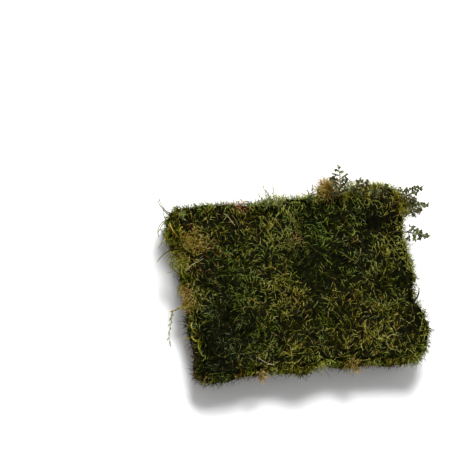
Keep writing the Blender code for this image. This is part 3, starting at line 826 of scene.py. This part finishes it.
def streaked_material(name, dark, light, scale, roughness):
    """A dry or barky surface with streaks and flecks."""
    made, shader = new_material(name, roughness)
    flecks, _ = add_spots(made, shader, scale, 6.0, 0.5, 0.0004)
    colour = add_ramp(made, flecks, ((0.32, dark), (0.66, light)))
    made.node_tree.links.new(colour, shader.inputs["Base Color"])
    return made


def tuft_centres(rng):
    """Tuft centres: a loosened grid over the plan."""
    before, after = TUFT_MARGINS
    axes = (np.arange(-half - before, half + after, TUFT_SPACING) for half in (HALF_LENGTH, HALF_WIDTH))
    grid = np.stack(np.meshgrid(*axes), axis=-1).reshape(-1, 2)
    return grid + rng.uniform(-TUFT_SCATTER, TUFT_SCATTER, grid.shape) * TUFT_SPACING


def from_tuft(plan, centres):
    """The way out from the nearest tuft's centre, and how far out: 1 is half way to its neighbours."""
    reach = plan[:, None, :] - centres[None, :, :]
    distance = np.linalg.norm(reach, axis=-1)
    nearest = distance.argmin(axis=1)
    rows = np.arange(len(plan))
    half = 0.5 * TUFT_SPACING
    radial = np.column_stack([reach[rows, nearest], np.zeros(len(plan))])
    return radial / half, distance[rows, nearest] / half


def tint_of(x, y, rng):
    """A shoot's tint on the palette at a point of the plan."""
    tint = TINT_MIDDLE + lumps(x, y, TINT_NOISE, TINT_SEED)
    for patch_x, patch_y, radius, patch_tint, strength in PATCHES:
        if rng.random() < bump(x, y, (patch_x, patch_y, radius, strength)):
            tint = patch_tint
    return tint + rng.normal(0.0, TINT_SPREAD)


def brightness_of(x, y, rng):
    """How light a shoot's tip is at a point of the plan: random tone, the spots with their painted shade,
    and by chance a painted glint.
    """
    share = 1.0 + lumps(x, y, SHADE_NOISE, SHADE_SEED) + bumps(x, y, PAINTED_SHADE_AND_TONE)
    glint = GLINT if rng.random() < GLINT_SHARE else 0.0
    return min(max(rng.normal(BRIGHT_MIDDLE * share, BRIGHT_SPREAD) + glint, BRIGHT_LEAST), 1.0)


def flow(points):
    """A direction in the plan that turns slowly from place to place, mostly towards the far side."""
    angles = sampled(lumps, points, (FLOW_WAVE,), FLOW_SEED)
    return level_ways(angles + math.pi / 2.0)


def moss_look(rng, count, tints, brights, leaves, scale=1.0):
    """The measures of ordinary moss shoots."""
    return {
        "count": count,
        "joints": 4,
        "leaves": leaves,
        "first_leaf": 0.30,
        "spread": LEAF_SPREAD,
        "widest": 0.40,
        "fold": 0.5,
        "tip_taper": 0.35,
        "stem_radius": STEM_RADIUS * rng.uniform(0.8, 1.2, count),
        "leaf_length": scale * LEAF_LENGTH * rng.uniform(0.75, 1.25, count),
        "leaf_width": scale * LEAF_WIDTH * rng.uniform(0.8, 1.2, count),
        "tint": np.clip(np.broadcast_to(np.asarray(tints, dtype=float), (count,)), *TINT_RANGE),
        "bright": np.broadcast_to(np.asarray(brights, dtype=float), (count,)),
        "root_value": 0.03,
    }


def add_shoots(name, groups, arcs, colours, leaves, scale, rng, material):
    """Shoots of the mat, as one piece for each group of rows."""
    for number, rows in enumerate(groups, 1):
        look = moss_look(rng, len(rows), *(values[rows] for values in colours), leaves, scale)
        path = arc_path(*(values[rows] for values in arcs))
        add_piece(f"{name}_{number}", shoot_mesh(path, look, rng), material, "moss", "moss_mat")


def top_shoots(material):
    """The mat's top: shoots that fan out of small tufts, drift with a slow flow and bend over."""
    rng = np.random.default_rng(21)
    count = TOP_SHOOTS
    centres = tuft_centres(rng)
    square = rng.uniform(-1.0, 1.0, (count, 2))
    plan = plan_points(square, TOP_SHARE)
    height = sampled(top_height, plan)
    slope_x = (sampled(top_height, plan + (SLOPE_STEP, 0.0)) - height) / SLOPE_STEP
    slope_y = (sampled(top_height, plan + (0.0, SLOPE_STEP)) - height) / SLOPE_STEP
    normals = unit(np.stack([-slope_x, -slope_y, np.ones(count)], axis=-1))
    radial, distance = from_tuft(plan, centres)
    drift = flow(plan)
    from_pit = plan - PIT_PLACE
    pit_distance = np.linalg.norm(from_pit, axis=1)
    push = np.exp(-(pit_distance / PIT_REACH) ** 2) / pit_distance
    away = np.column_stack([from_pit, np.zeros(count)]) * push[:, None]
    edge = np.clip((np.abs(square).max(axis=1) - EDGE_START) / EDGE_BAND, 0.0, 1.0) ** 2
    outward = unit(np.column_stack([square ** OUTWARD_POWER, np.zeros(count)]))
    outward = outward * (EDGE_LEAN * edge)[:, None]
    loose = rng.normal(0.0, 1.0, (count, 3))
    directions = unit(normals + 0.45 * radial + 0.30 * drift + 0.40 * loose + outward + away)
    bends = across(0.6 * radial + 0.7 * drift + 0.8 * loose + away - 0.3 * UP, directions)
    level = height - ROOT_DEPTH - TUFT_DOME * distance ** 2 + rng.normal(0.0, ROOT_SPREAD, count)
    roots = np.column_stack([plan, level - EDGE_SINK * edge])
    turns = rng.uniform(*TOP_TURNS, count)
    shorter = PIT_SHORTER * np.exp(-(pit_distance / (1.5 * PIT_REACH)) ** 2)
    lengths = rng.uniform(*TOP_LENGTH, count) * (1.0 - shorter)
    colours = sampled(tint_of, plan, rng), sampled(brightness_of, plan, rng)
    order = np.argsort(plan[:, 0])
    groups = np.array_split(order[pit_distance[order] > PIT_RADIUS], TOP_PIECES)
    arcs = roots, directions, bends, turns, lengths
    add_shoots("moss_top", groups, arcs, colours, TOP_LEAVES, 1.0, rng, material)


def side_turns(count, rng):
    """Places round the mat's edge, as turns from 0 to 4 round its square, even along its length."""
    long_side = rng.random(count) < HALF_LENGTH / (HALF_LENGTH + HALF_WIDTH)
    near_or_left = rng.integers(0, 2, count) * 2
    return np.where(long_side, near_or_left, near_or_left + 1) + rng.random(count)


def side_shoots(material):
    """The mat's shoulder and walls: shoots that grow outwards and hang over, browner towards the base."""
    rng = np.random.default_rng(22)
    count = SIDE_SHOOTS
    turn = side_turns(count, rng)
    rim = rng.random(count) < RIM_SHARE
    down = np.where(rim, rng.uniform(*RIM_DOWN, count), rng.uniform(*WALL_DOWN, count))
    places, beside = (
        np.array([side_point(t + step, d) for t, d in zip(turn, down)]) for step in (0.0, TURN_STEP)
    )
    outward = unit(np.cross(unit(beside - places), UP))
    lean = np.clip(down / SHOULDER_END, 0.0, 1.0)[:, None] * (math.pi / 2.0)
    normals = outward * np.sin(lean) + UP * np.cos(lean)
    loose = rng.normal(0.0, 1.0, (count, 3))
    directions = unit(0.9 * normals + 0.45 * UP + 0.50 * loose)
    bends = across(-0.6 * UP + 0.4 * outward + 0.9 * loose, directions)
    roots = places - normals * WALL_ROOT_DEPTH
    turns = rng.uniform(*SIDE_TURNS, count)
    lengths = rng.uniform(*SIDE_LENGTH, count)
    lengths = lengths * np.where(rng.random(count) < SIDE_LONG_SHARE, SIDE_LONG_FACTOR, 1.0)
    lengths *= np.clip((roots[:, 2] + LOW_ROOM) / (LOW_REACH * lengths), LOW_SHORTEST, 1.0)
    plan = places[:, :2]
    tints, brights = sampled(tint_of, plan, rng), sampled(brightness_of, plan, rng)
    old = rng.random(count) < OLD_SHARE * np.clip((down - OLD_START) / OLD_BAND, 0.0, 1.0)
    tints = np.where(old, mixed_tints(OLD_TINTS, 0.04, count, rng), tints)
    brights = brights * np.where(old, OLD_BRIGHT, 1.0)
    # Pale shoots on the rim: yellow-green, and brightened as painted backlight through their thin leaves
    pale = rim & (rng.random(count) < sampled(bumps, plan, RIM_PAINTED_BACKLIGHT))
    tints = np.where(pale, YELLOW_GREEN + rng.normal(0.0, 0.06, count), tints)
    brights = np.where(pale, np.clip(brights + BACKLIGHT_GAIN, *BACKLIGHT_RANGE), brights)
    groups = np.array_split(np.argsort(places[:, 1]), SIDE_PIECES)
    arcs = roots, directions, bends, turns, lengths
    add_shoots("moss_side", groups, arcs, (tints, brights), SIDE_LEAVES, SIDE_SCALE, rng, material)


def core(material):
    """The felted body under the shoots, dark with painted shade, closed all round, a little inside the
    mat's solid.
    """
    rings, around, sides = 34, 180, 14
    wavelength, height = CORE_GRAIN
    vertices, faces = [], []
    for ring in range(rings + 1):
        share = FLAT_SHARE * ring / rings
        for index in range(around):
            point = outline_point(*square_point(4.0 * index / around)) * share
            rough = lumps(point.x, point.y, (CORE_GRAIN,), CORE_SEED)
            vertices.append((point.x, point.y, top_height(point.x, point.y) - CORE_SINK + rough))
    for row in range(1, sides + 1):
        for index in range(around):
            place = side_point(4.0 * index / around, row / sides)
            depth = CORE_WALL_SINK + height * noise.noise(place / wavelength)
            inward = Vector((-place.x, -place.y)).normalized() * depth
            z = max(place.z - CORE_SINK * (1.0 - row / sides), CORE_FLOOR)
            vertices.append((place.x + inward.x, place.y + inward.y, z))
    rows = rings + sides + 1
    for row in range(rows - 1):
        low, high = row * around, (row + 1) * around
        for index in range(around):
            after = (index + 1) % around
            if row > 0:
                faces.append((low + index, high + after, low + after))
            faces.append((low + index, high + index, high + after))
    vertices.append((0.0, 0.0, CORE_FLOOR))
    last = (rows - 1) * around
    for index in range(around):
        faces.append((last + index, len(vertices) - 1, last + (index + 1) % around))
    add_piece("moss_core", (np.array(vertices), np.array(faces), None), material, "moss", "moss_mat")


def underside(material):
    """Old stems pressed flat under the mat."""
    rng = np.random.default_rng(23)
    count = UNDERSIDE_SHOOTS
    plan = plan_points(rng.uniform(-1.0, 1.0, (count, 2)), UNDERSIDE_SHARE)
    roots = np.column_stack([plan, rng.uniform(*UNDERSIDE_HEIGHT, count)])
    directions = level_ways(rng.uniform(0.0, 2.0 * np.pi, count))
    bends = np.cross(directions, UP) * either_side(count, rng)
    tints = mixed_tints(OLD_TINTS, 0.08, count, rng)
    look = moss_look(rng, count, tints, rng.uniform(0.35, 0.95, count), 6, 0.8)
    look.update({"first_leaf": 0.1, "joints": 5, "spread": 0.5, "root_value": LOOSE_ROOT_VALUE})
    turns = rng.uniform(0.2, 2.2, count)
    path = arc_path(roots, directions, bends, turns, rng.uniform(*UNDERSIDE_LENGTH, count))
    add_piece("moss_underside", shoot_mesh(path, look, rng), material, "moss", "moss_mat")


def fuzzy_tufts(rng):
    """Tufts of thin shoots with fine leaves, all of one tint."""
    parts = []
    for x, y, radius, count, azimuth, lean, length, tint in FUZZY_TUFTS:
        scatter = np.clip(rng.normal(0.0, FUZZY_SCATTER, (count, 2)), -FUZZY_LIMIT, FUZZY_LIMIT)
        plan = (x, y) + radius * scatter
        roots = np.column_stack([plan, sampled(top_height, plan * FUZZY_SHARE) - ROOT_DEPTH])
        angle = math.radians(azimuth)
        out = np.array([math.cos(angle), math.sin(angle), 0.0])
        loose = rng.normal(0.0, 1.0, (count, 3))
        directions = unit(UP + lean * out + 0.30 * loose)
        bends = across(0.4 * out - 0.4 * UP + 0.8 * loose, directions)
        tints = tint + rng.normal(0.0, 0.04, count)
        look = moss_look(rng, count, tints, rng.uniform(*FUZZY_BRIGHT, count), FUZZY_LEAVES)
        look["root_value"] = LONG_ROOT_VALUE
        turns = rng.uniform(*FUZZY_TURNS, count)
        path = arc_path(roots, directions, bends, turns, rng.uniform(0.6, 1.0, count) * length)
        parts.append(shoot_mesh(path, look, rng))
    return parts


def long_shoots(rng):
    """Longer, thinner shoots that curve out past the left edge: a small spray for each in the solids."""
    x, y, azimuth, reach, rise = np.repeat(np.array(LONG_SHOOTS), LONG_SPRAY, axis=0).T
    count = len(x)
    x = x + rng.normal(0.0, 0.004, count)
    y = y + rng.normal(0.0, 0.006, count)
    out = level_ways(np.radians(azimuth + rng.uniform(-LONG_FAN, LONG_FAN, count)))
    roots = np.column_stack([x, y, sampled(top_height, zip(x, y)) - LONG_ROOT_DEPTH])
    beside = np.cross(UP, out) * either_side(count, rng)
    directions = unit(out + LONG_RISE * UP)
    bends = across(0.8 * beside - 0.5 * UP + 0.2 * rng.normal(0.0, 1.0, (count, 3)), directions)
    tints = mixed_tints(LONG_TINTS, 0.03, count, rng)
    look = moss_look(rng, count, tints, rng.uniform(0.55, 0.90, count), LONG_LEAVES, LONG_SCALE)
    look.update({"joints": 11, "first_leaf": 0.12, "spread": 0.45, "root_value": LONG_ROOT_VALUE})
    look["stem_radius"] = np.full(count, LONG_STEM_RADIUS)
    lengths = (reach + rise) * rng.uniform(0.70, 1.00, count)
    lengths[::LONG_SPRAY] = (reach + rise)[::LONG_SPRAY]
    path = arc_path(roots, directions, bends, rng.uniform(*LONG_TURNS, count), lengths)
    return [shoot_mesh(path, look, rng)]


def strays(rng):
    """Long, thin strands that lie loose over the top."""
    plan = plan_points(rng.uniform(-1.0, 1.0, (STRAYS, 2)), STRAY_SHARE)
    plan = plan[np.linalg.norm(plan - PIT_PLACE, axis=1) > STRAY_PIT_CLEARANCE]
    count = len(plan)
    height = sampled(top_height, plan) + rng.uniform(*STRAY_HEIGHT, count)
    roots = np.column_stack([plan, height])
    along = level_ways(rng.uniform(0.0, 2.0 * np.pi, count))
    beside = np.cross(UP, along) * either_side(count, rng)
    directions = unit(along + 0.30 * UP)
    bends = across(beside - 0.45 * UP, directions)
    tints = mixed_tints(STRAY_TINTS, 0.04, count, rng)
    look = moss_look(rng, count, tints, rng.uniform(0.55, 0.90, count), STRAY_LEAVES, 0.8)
    look.update({"joints": 9, "first_leaf": 0.10, "root_value": 0.30})
    turns = rng.uniform(*STRAY_TURNS, count)
    path = arc_path(roots, directions, bends, turns, rng.uniform(*STRAY_LENGTH, count))
    return [shoot_mesh(path, look, rng)]


def loose_shoots(material):
    """The fuzzy tufts, the long shoots past the left edge and the strands that lie on the top."""
    rng = np.random.default_rng(27)
    parts = fuzzy_tufts(rng) + long_shoots(rng) + strays(rng)
    nodes = [f"long_shoot_{number}" for number in range(1, len(LONG_SHOOTS) + 1)]
    add_piece("loose_shoots", joined(parts), material, "moss", "moss_mat", *nodes)


def bend_path(reach, rise):
    """The stem of a frond, which stands up out of the mat and bends over towards +X."""

    def at(shares):
        angle = shares * (np.pi / 2.0)
        zero = np.zeros_like(angle)
        points = np.stack([reach * (1.0 - np.cos(angle)), zero, rise * np.sin(angle)], axis=-1)
        along = unit(np.stack([reach * np.sin(angle), zero, rise * np.cos(angle) + 0.001], axis=-1))
        normals = np.stack([-along[..., 2], zero, along[..., 0]], axis=-1)
        return points, along, normals

    return at


def stood(shape, x, y, azimuth, node):
    """A shape, turned and set on the mat where its solid stands."""
    vertices, faces, palette = shape
    angle = math.radians(azimuth)
    sine, cosine = math.sin(angle), math.cos(angle)
    turned = vertices @ np.array([[cosine, sine, 0.0], [-sine, cosine, 0.0], [0.0, 0.0, 1.0]])
    return turned + (x, y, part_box(node)[0].z), faces, palette


def rounded_leaves(path, places, look, rng):
    """Small rounded leaves that stand round each branch at the given shares of its length."""
    count, leaves = places.shape
    points, along, normals = path(places)
    flat = np.cross(along, normals)
    angle = np.arange(leaves) * GOLDEN_ANGLE + rng.uniform(0.0, 2.0 * np.pi, (count, 1))
    out = unit(np.cos(angle)[..., None] * flat + 0.7 * np.sin(angle)[..., None] * normals)
    spread = look["spread"] + rng.normal(0.0, 0.25, (count, leaves, 1))
    blade = along * np.cos(spread) + out * np.sin(spread)
    side = unit(np.cross(blade, unit(normals + 0.5 * rng.normal(0.0, 1.0, normals.shape))))
    upper = np.cross(side, blade)
    length = (look["leaf_length"][:, None] * rng.uniform(0.75, 1.2, (count, leaves)))[..., None]
    half = 0.5 * look["leaf_ratio"] * length
    corners = [
        points + blade * length * far + side * half * wide + upper * half * high
        for far, wide, high in LEAF_OUTLINE
    ]
    tint = look["tint"][:, None, None] + np.array(LEAF_TINTS)
    value = look["bright"][:, None, None] * np.array(LEAF_VALUES)
    value = value * rng.uniform(0.7, 1.0, (count, leaves, 1))
    palette = np.clip(np.stack([np.broadcast_to(tint, value.shape), value], axis=-1), 0.01, 0.99)
    faces = repeated(LEAF_FACES, len(LEAF_OUTLINE), count * leaves)
    return np.stack(corners, axis=2).reshape(-1, 3), faces, palette.reshape(-1, 2)


def feather_look(rng, count, radius):
    """The measures of a feather frond's branches."""
    look = moss_look(rng, count, rng.uniform(0.03, 0.97, count), rng.uniform(0.5, 1.0, count), 0)
    look.update({"spread": 0.95, "leaf_ratio": 0.85, "root_value": 0.04})
    look["stem_radius"] = np.full(count, radius)
    look["leaf_length"] = FROND_LEAF * rng.uniform(0.85, 1.15, count)
    return look


def bare_stem(path, look):
    """The stems of the shoots alone."""
    vertices, palette, faces = stem_mesh(path, look)
    faces = repeated(faces, vertices.shape[1], look["count"])
    return vertices.reshape(-1, 3), faces, palette.reshape(-1, 2)


def knobbly(path, count, first, knobs, radius, rng):
    """Branches with small lumps of rounded leaves, the last of them at the tip."""
    look = feather_look(rng, count, radius)
    middles = np.repeat(np.linspace(first, 0.97, knobs), KNOB_LEAVES)
    places = np.clip(middles + rng.normal(0.0, KNOB_SCATTER, (count, len(middles))), 0.0, 1.0)
    return [bare_stem(path, look), rounded_leaves(path, places, look, rng)]


def frond(number, row, material):
    """A feather-moss frond: a wiry stem that forks into knobbly branches, longest below the middle."""
    rng = np.random.default_rng(40 + number)
    x, y, azimuth, reach, rise, pairs = row
    length = math.hypot(reach, rise)
    stem = bend_path(reach, rise)
    look = feather_look(rng, 1, FROND_STEM_RADIUS)
    look.update({"joints": 14, "tint": np.array([FROND_STEM_TINT])})
    bare = FROND_LONG_BARE_SHARE if reach > FROND_LONG_REACH else FROND_BARE_SHARE
    stem_leaves = np.linspace(bare, 1.0, KNOB_LEAVES * (4 + pairs))[None, :]
    parts = [bare_stem(stem, look), rounded_leaves(stem, stem_leaves, look, rng)]
    count = 2 * pairs - 2
    shares = np.arange(count) + rng.uniform(0.1, 0.9, count)
    shares = bare + (FROND_LAST_BRANCH - bare) * shares / count
    points, along, _ = (values[0] for values in stem(shares[None, :]))
    sides = np.where(np.arange(count) % 2 == 0, 1.0, -1.0)[:, None] * np.array([0.0, 1.0, 0.0])
    out = unit(0.75 * along + sides + rng.normal(0.0, 0.22, (count, 3)))
    swell = np.exp(-(((shares - FROND_WIDEST) / FROND_SWELL) ** 2))
    lengths = FROND_BRANCH_SHARE * length * swell * rng.uniform(0.5, 1.15, count)
    down = np.tile(-UP, (count, 1))
    path = arc_path(points, out, across(down, out), rng.uniform(0.25, 0.9, count), lengths)
    knobs = max(round(0.27 * length / KNOB_SPACING), 2)
    parts += knobbly(path, count, 0.25, knobs, FROND_BRANCH_RADIUS, rng)
    starts, forward, upward = (values[:, 0] for values in path(np.full((count, 1), TWIG_PLACE)))
    aside = either_side(count, rng) * np.cross(forward, upward)
    aside = unit(forward + 0.9 * aside + rng.normal(0.0, 0.15, (count, 3)))
    reaches = TWIG_SHARE * lengths * rng.uniform(0.7, 1.2, count)
    twigs = arc_path(starts, aside, across(down, aside), rng.uniform(0.2, 0.6, count), reaches)
    parts += knobbly(twigs, count, 0.50, 3, FROND_TWIG_RADIUS, rng)
    node = f"feather_frond_{number}"
    shape = stood(joined(parts), x, y, azimuth, node)
    add_piece(f"leafy_frond_{number}", shape, material, "feather_moss", node)


def blade(number, row, material):
    """A small spray of thin upright shoots with narrow leaves that stand off their stems."""
    rng = np.random.default_rng(80 + number)
    x, y, azimuth, reach, rise = row
    node = f"grass_blade_{number}"
    parts = []
    for turn, share in BLADE_SPRAY:
        leaves = round(share * math.hypot(reach, rise) / BLADE_LEAF_SPACING)
        look = moss_look(rng, 1, OLIVE, 0.8, leaves)
        look.update({"joints": 12, "first_leaf": 0.20, "spread": BLADE_LEAF_SPREAD})
        look["stem_radius"] = np.array([BLADE_STEM_RADIUS])
        look["leaf_length"] = np.array([BLADE_LEAF])
        look["leaf_width"] = np.array([BLADE_LEAF_WIDTH])
        shape = shoot_mesh(bend_path(share * reach, share * rise), look, rng)
        parts.append(stood(shape, x, y, azimuth + turn, node))
    vertices, faces, _ = joined(parts)
    add_piece(f"leafy_blade_{number}", (vertices, faces, None), material, "grass", node)


def strand_path(base):
    """The loose strand: out over the left edge in a low arch and down beside the mat."""
    x, y = STRAND_PLACE
    edge = -HALF_LENGTH - STRAND_CLEARANCE - x
    arch = [
        (
            edge * (0.5 - 0.5 * math.cos(math.pi * share)),
            -STRAND_DRIFT * share,
            STRAND_ARCH * math.sin(math.pi * share),
        )
        for share in (0.0, 0.12, 0.3, 0.5, 0.7, 0.85, 1.0)
    ]
    hang = [
        (STRAND_SWAY * math.sin(6.0 * share), -STRAND_SWEEP * share ** 1.5, -STRAND_HANG * share)
        for share in (0.2, 0.4, 0.6, 0.8, 1.0)
    ]
    knots = np.array(arch + [tuple(np.add(arch[-1], step)) for step in hang]) + (x, y, base)
    marks = np.linspace(0.0, 1.0, len(knots))

    def place(values):
        return np.stack([np.interp(values, marks, knots[:, axis]) for axis in range(3)], axis=-1)

    def at(shares):
        points = (place(shares - 0.03) + place(shares) + place(shares + 0.03)) / 3.0
        along = unit(place(shares + 0.04) - place(shares - 0.04))
        side = np.broadcast_to(np.array([0.0, 1.0, 0.0]), along.shape)
        return points, along, across(side, along)

    return at


def strand(material):
    """A loose strand of moss that crosses the left edge and hangs down beside the mat."""
    rng = np.random.default_rng(60)
    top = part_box("trailing_strand")[1].z
    path = strand_path(top - STRAND_RADIUS - STRAND_ARCH)
    look = moss_look(rng, 1, YELLOW_OLIVE, 0.85, STRAND_LEAVES, 2.0)
    look.update({"joints": 26, "first_leaf": 0.02, "root_value": LOOSE_ROOT_VALUE})
    look["stem_radius"] = np.array([STRAND_STEM_RADIUS])
    parts = [shoot_mesh(path, look, rng)]
    count = STRAND_TWIGS
    points, along, normals = (values[0] for values in path(np.linspace(0.12, 0.98, count)[None, :]))
    aside = np.cross(along, normals) * (0.6 * either_side(count, rng))
    out = unit(along + aside + rng.normal(0.0, 0.20, (count, 3)))
    down = np.tile([0.01, 0.0, -1.0], (count, 1))
    turns = rng.uniform(0.4, 1.2, count)
    twigs = arc_path(points, out, across(down, out), turns, rng.uniform(0.006, 0.012, count))
    tints = rng.uniform(0.40, 0.66, count)
    tints[:2] = GREY_GREEN, STRAW
    look = moss_look(rng, count, tints, rng.uniform(0.70, 1.00, count), 14, 1.6)
    look.update({"first_leaf": 0.05, "root_value": LOOSE_ROOT_VALUE})
    parts.append(shoot_mesh(twigs, look, rng))
    add_piece("leafy_strand", joined(parts), material, "moss", "trailing_strand")


def dress_cad_nodes():
    """Better materials for the small solids that stay as they are."""
    straw = streaked_material("dry_straw_streaks", (0.19, 0.15, 0.08), (0.46, 0.38, 0.25), 260.0, 0.6)
    bark = streaked_material("bark_flecks", (0.010, 0.007, 0.005), (0.060, 0.042, 0.030), 420.0, 0.85)
    curl = streaked_material("pale_moss_stem", (0.13, 0.12, 0.04), (0.36, 0.33, 0.15), 260.0, 0.6)
    looks = {"dry_stalk": straw, "curled_stem": curl, "dark_twig": bark}
    for name, obj in frame["nodes"].items():
        for start, material in looks.items():
            if name.startswith(start):
                obj.data.materials.clear()
                obj.data.materials.append(material)


def pale_floor():
    """A wide, pale floor just under the mat."""
    half, level = 4.0, -0.0006
    corners = [(-half, -half, level), (half, -half, level), (half, half, level), (-half, half, level)]
    mesh = bpy.data.meshes.new("floor")
    mesh.from_pydata(corners, [], [(0, 1, 2, 3)])
    pale, shader = new_material("pale_floor", 0.9)
    shader.inputs["Base Color"].default_value = (0.86, 0.86, 0.86, 1.0)
    mesh.materials.append(pale)
    floor = add_object("floor", mesh)


def soft_light():
    """A large light from the far side that looks at the mat, and a bright, even surround."""
    data = bpy.data.lights.new("key_light", "AREA")
    data.size = 1.2
    data.energy = 154.0
    light = add_object("key_light", data)
    light.location = KEY_LIGHT_PLACE
    aim = Vector((0.0, 0.0, MEAN_HEIGHT)) - Vector(KEY_LIGHT_PLACE)
    light.rotation_euler = aim.to_track_quat("-Z", "Y").to_euler()
    world = bpy.data.worlds.new("soft_white")
    world.use_nodes = True
    background = world.node_tree.nodes["Background"]
    background.inputs["Color"].default_value = (1.0, 1.0, 1.0, 1.0)
    background.inputs["Strength"].default_value = 0.54
    bpy.context.scene.world = world
    bpy.context.scene.view_settings.view_transform = "Standard"


def camera():
    """The photograph's camera."""
    data = bpy.data.cameras.new("camera")
    data.lens = CAMERA_LENS
    data.sensor_width = 36.0
    obj = add_object("camera", data)
    back = (CAMERA_PLACE - CAMERA_AIM).normalized()
    right = CAMERA_UP.cross(back).normalized()
    up = back.cross(right)
    turn = Matrix((right, up, back)).transposed().to_4x4()
    place = CAMERA_PLACE + Vector(MIDDLE) + Vector((0.0, 0.0, RIM_HEIGHT))
    obj.matrix_world = Matrix.Translation(place) @ turn
    bpy.context.scene.camera = obj


def main():
    """Makes every piece and the scene round them."""
    moss = palette_material("living_moss", MOSS_ROOTS_AND_SHADE, MOSS_BODIES, MOSS_TIPS_AND_HIGHLIGHTS)
    feather = palette_material("feather_moss_leaves", FEATHER_ROOTS, FEATHER_BODIES, FEATHER_TIPS)
    core(core_material())
    top_shoots(moss)
    side_shoots(moss)
    loose_shoots(moss)
    underside(moss)
    strand(moss)
    for number, row in enumerate(FRONDS, 1):
        frond(number, row, feather)
    pale = streaked_material("grass_streaks", (0.08, 0.10, 0.02), (0.24, 0.27, 0.08), 180.0, 0.5)
    dark = streaked_material("seedling_streaks", (0.040, 0.060, 0.018), (0.110, 0.130, 0.050), 180.0, 0.5)
    for number, row in enumerate(BLADES, 1):
        blade(number, row, dark if number in DARK_BLADES else pale)
    dress_cad_nodes()
    pale_floor()
    soft_light()
    camera()


main()
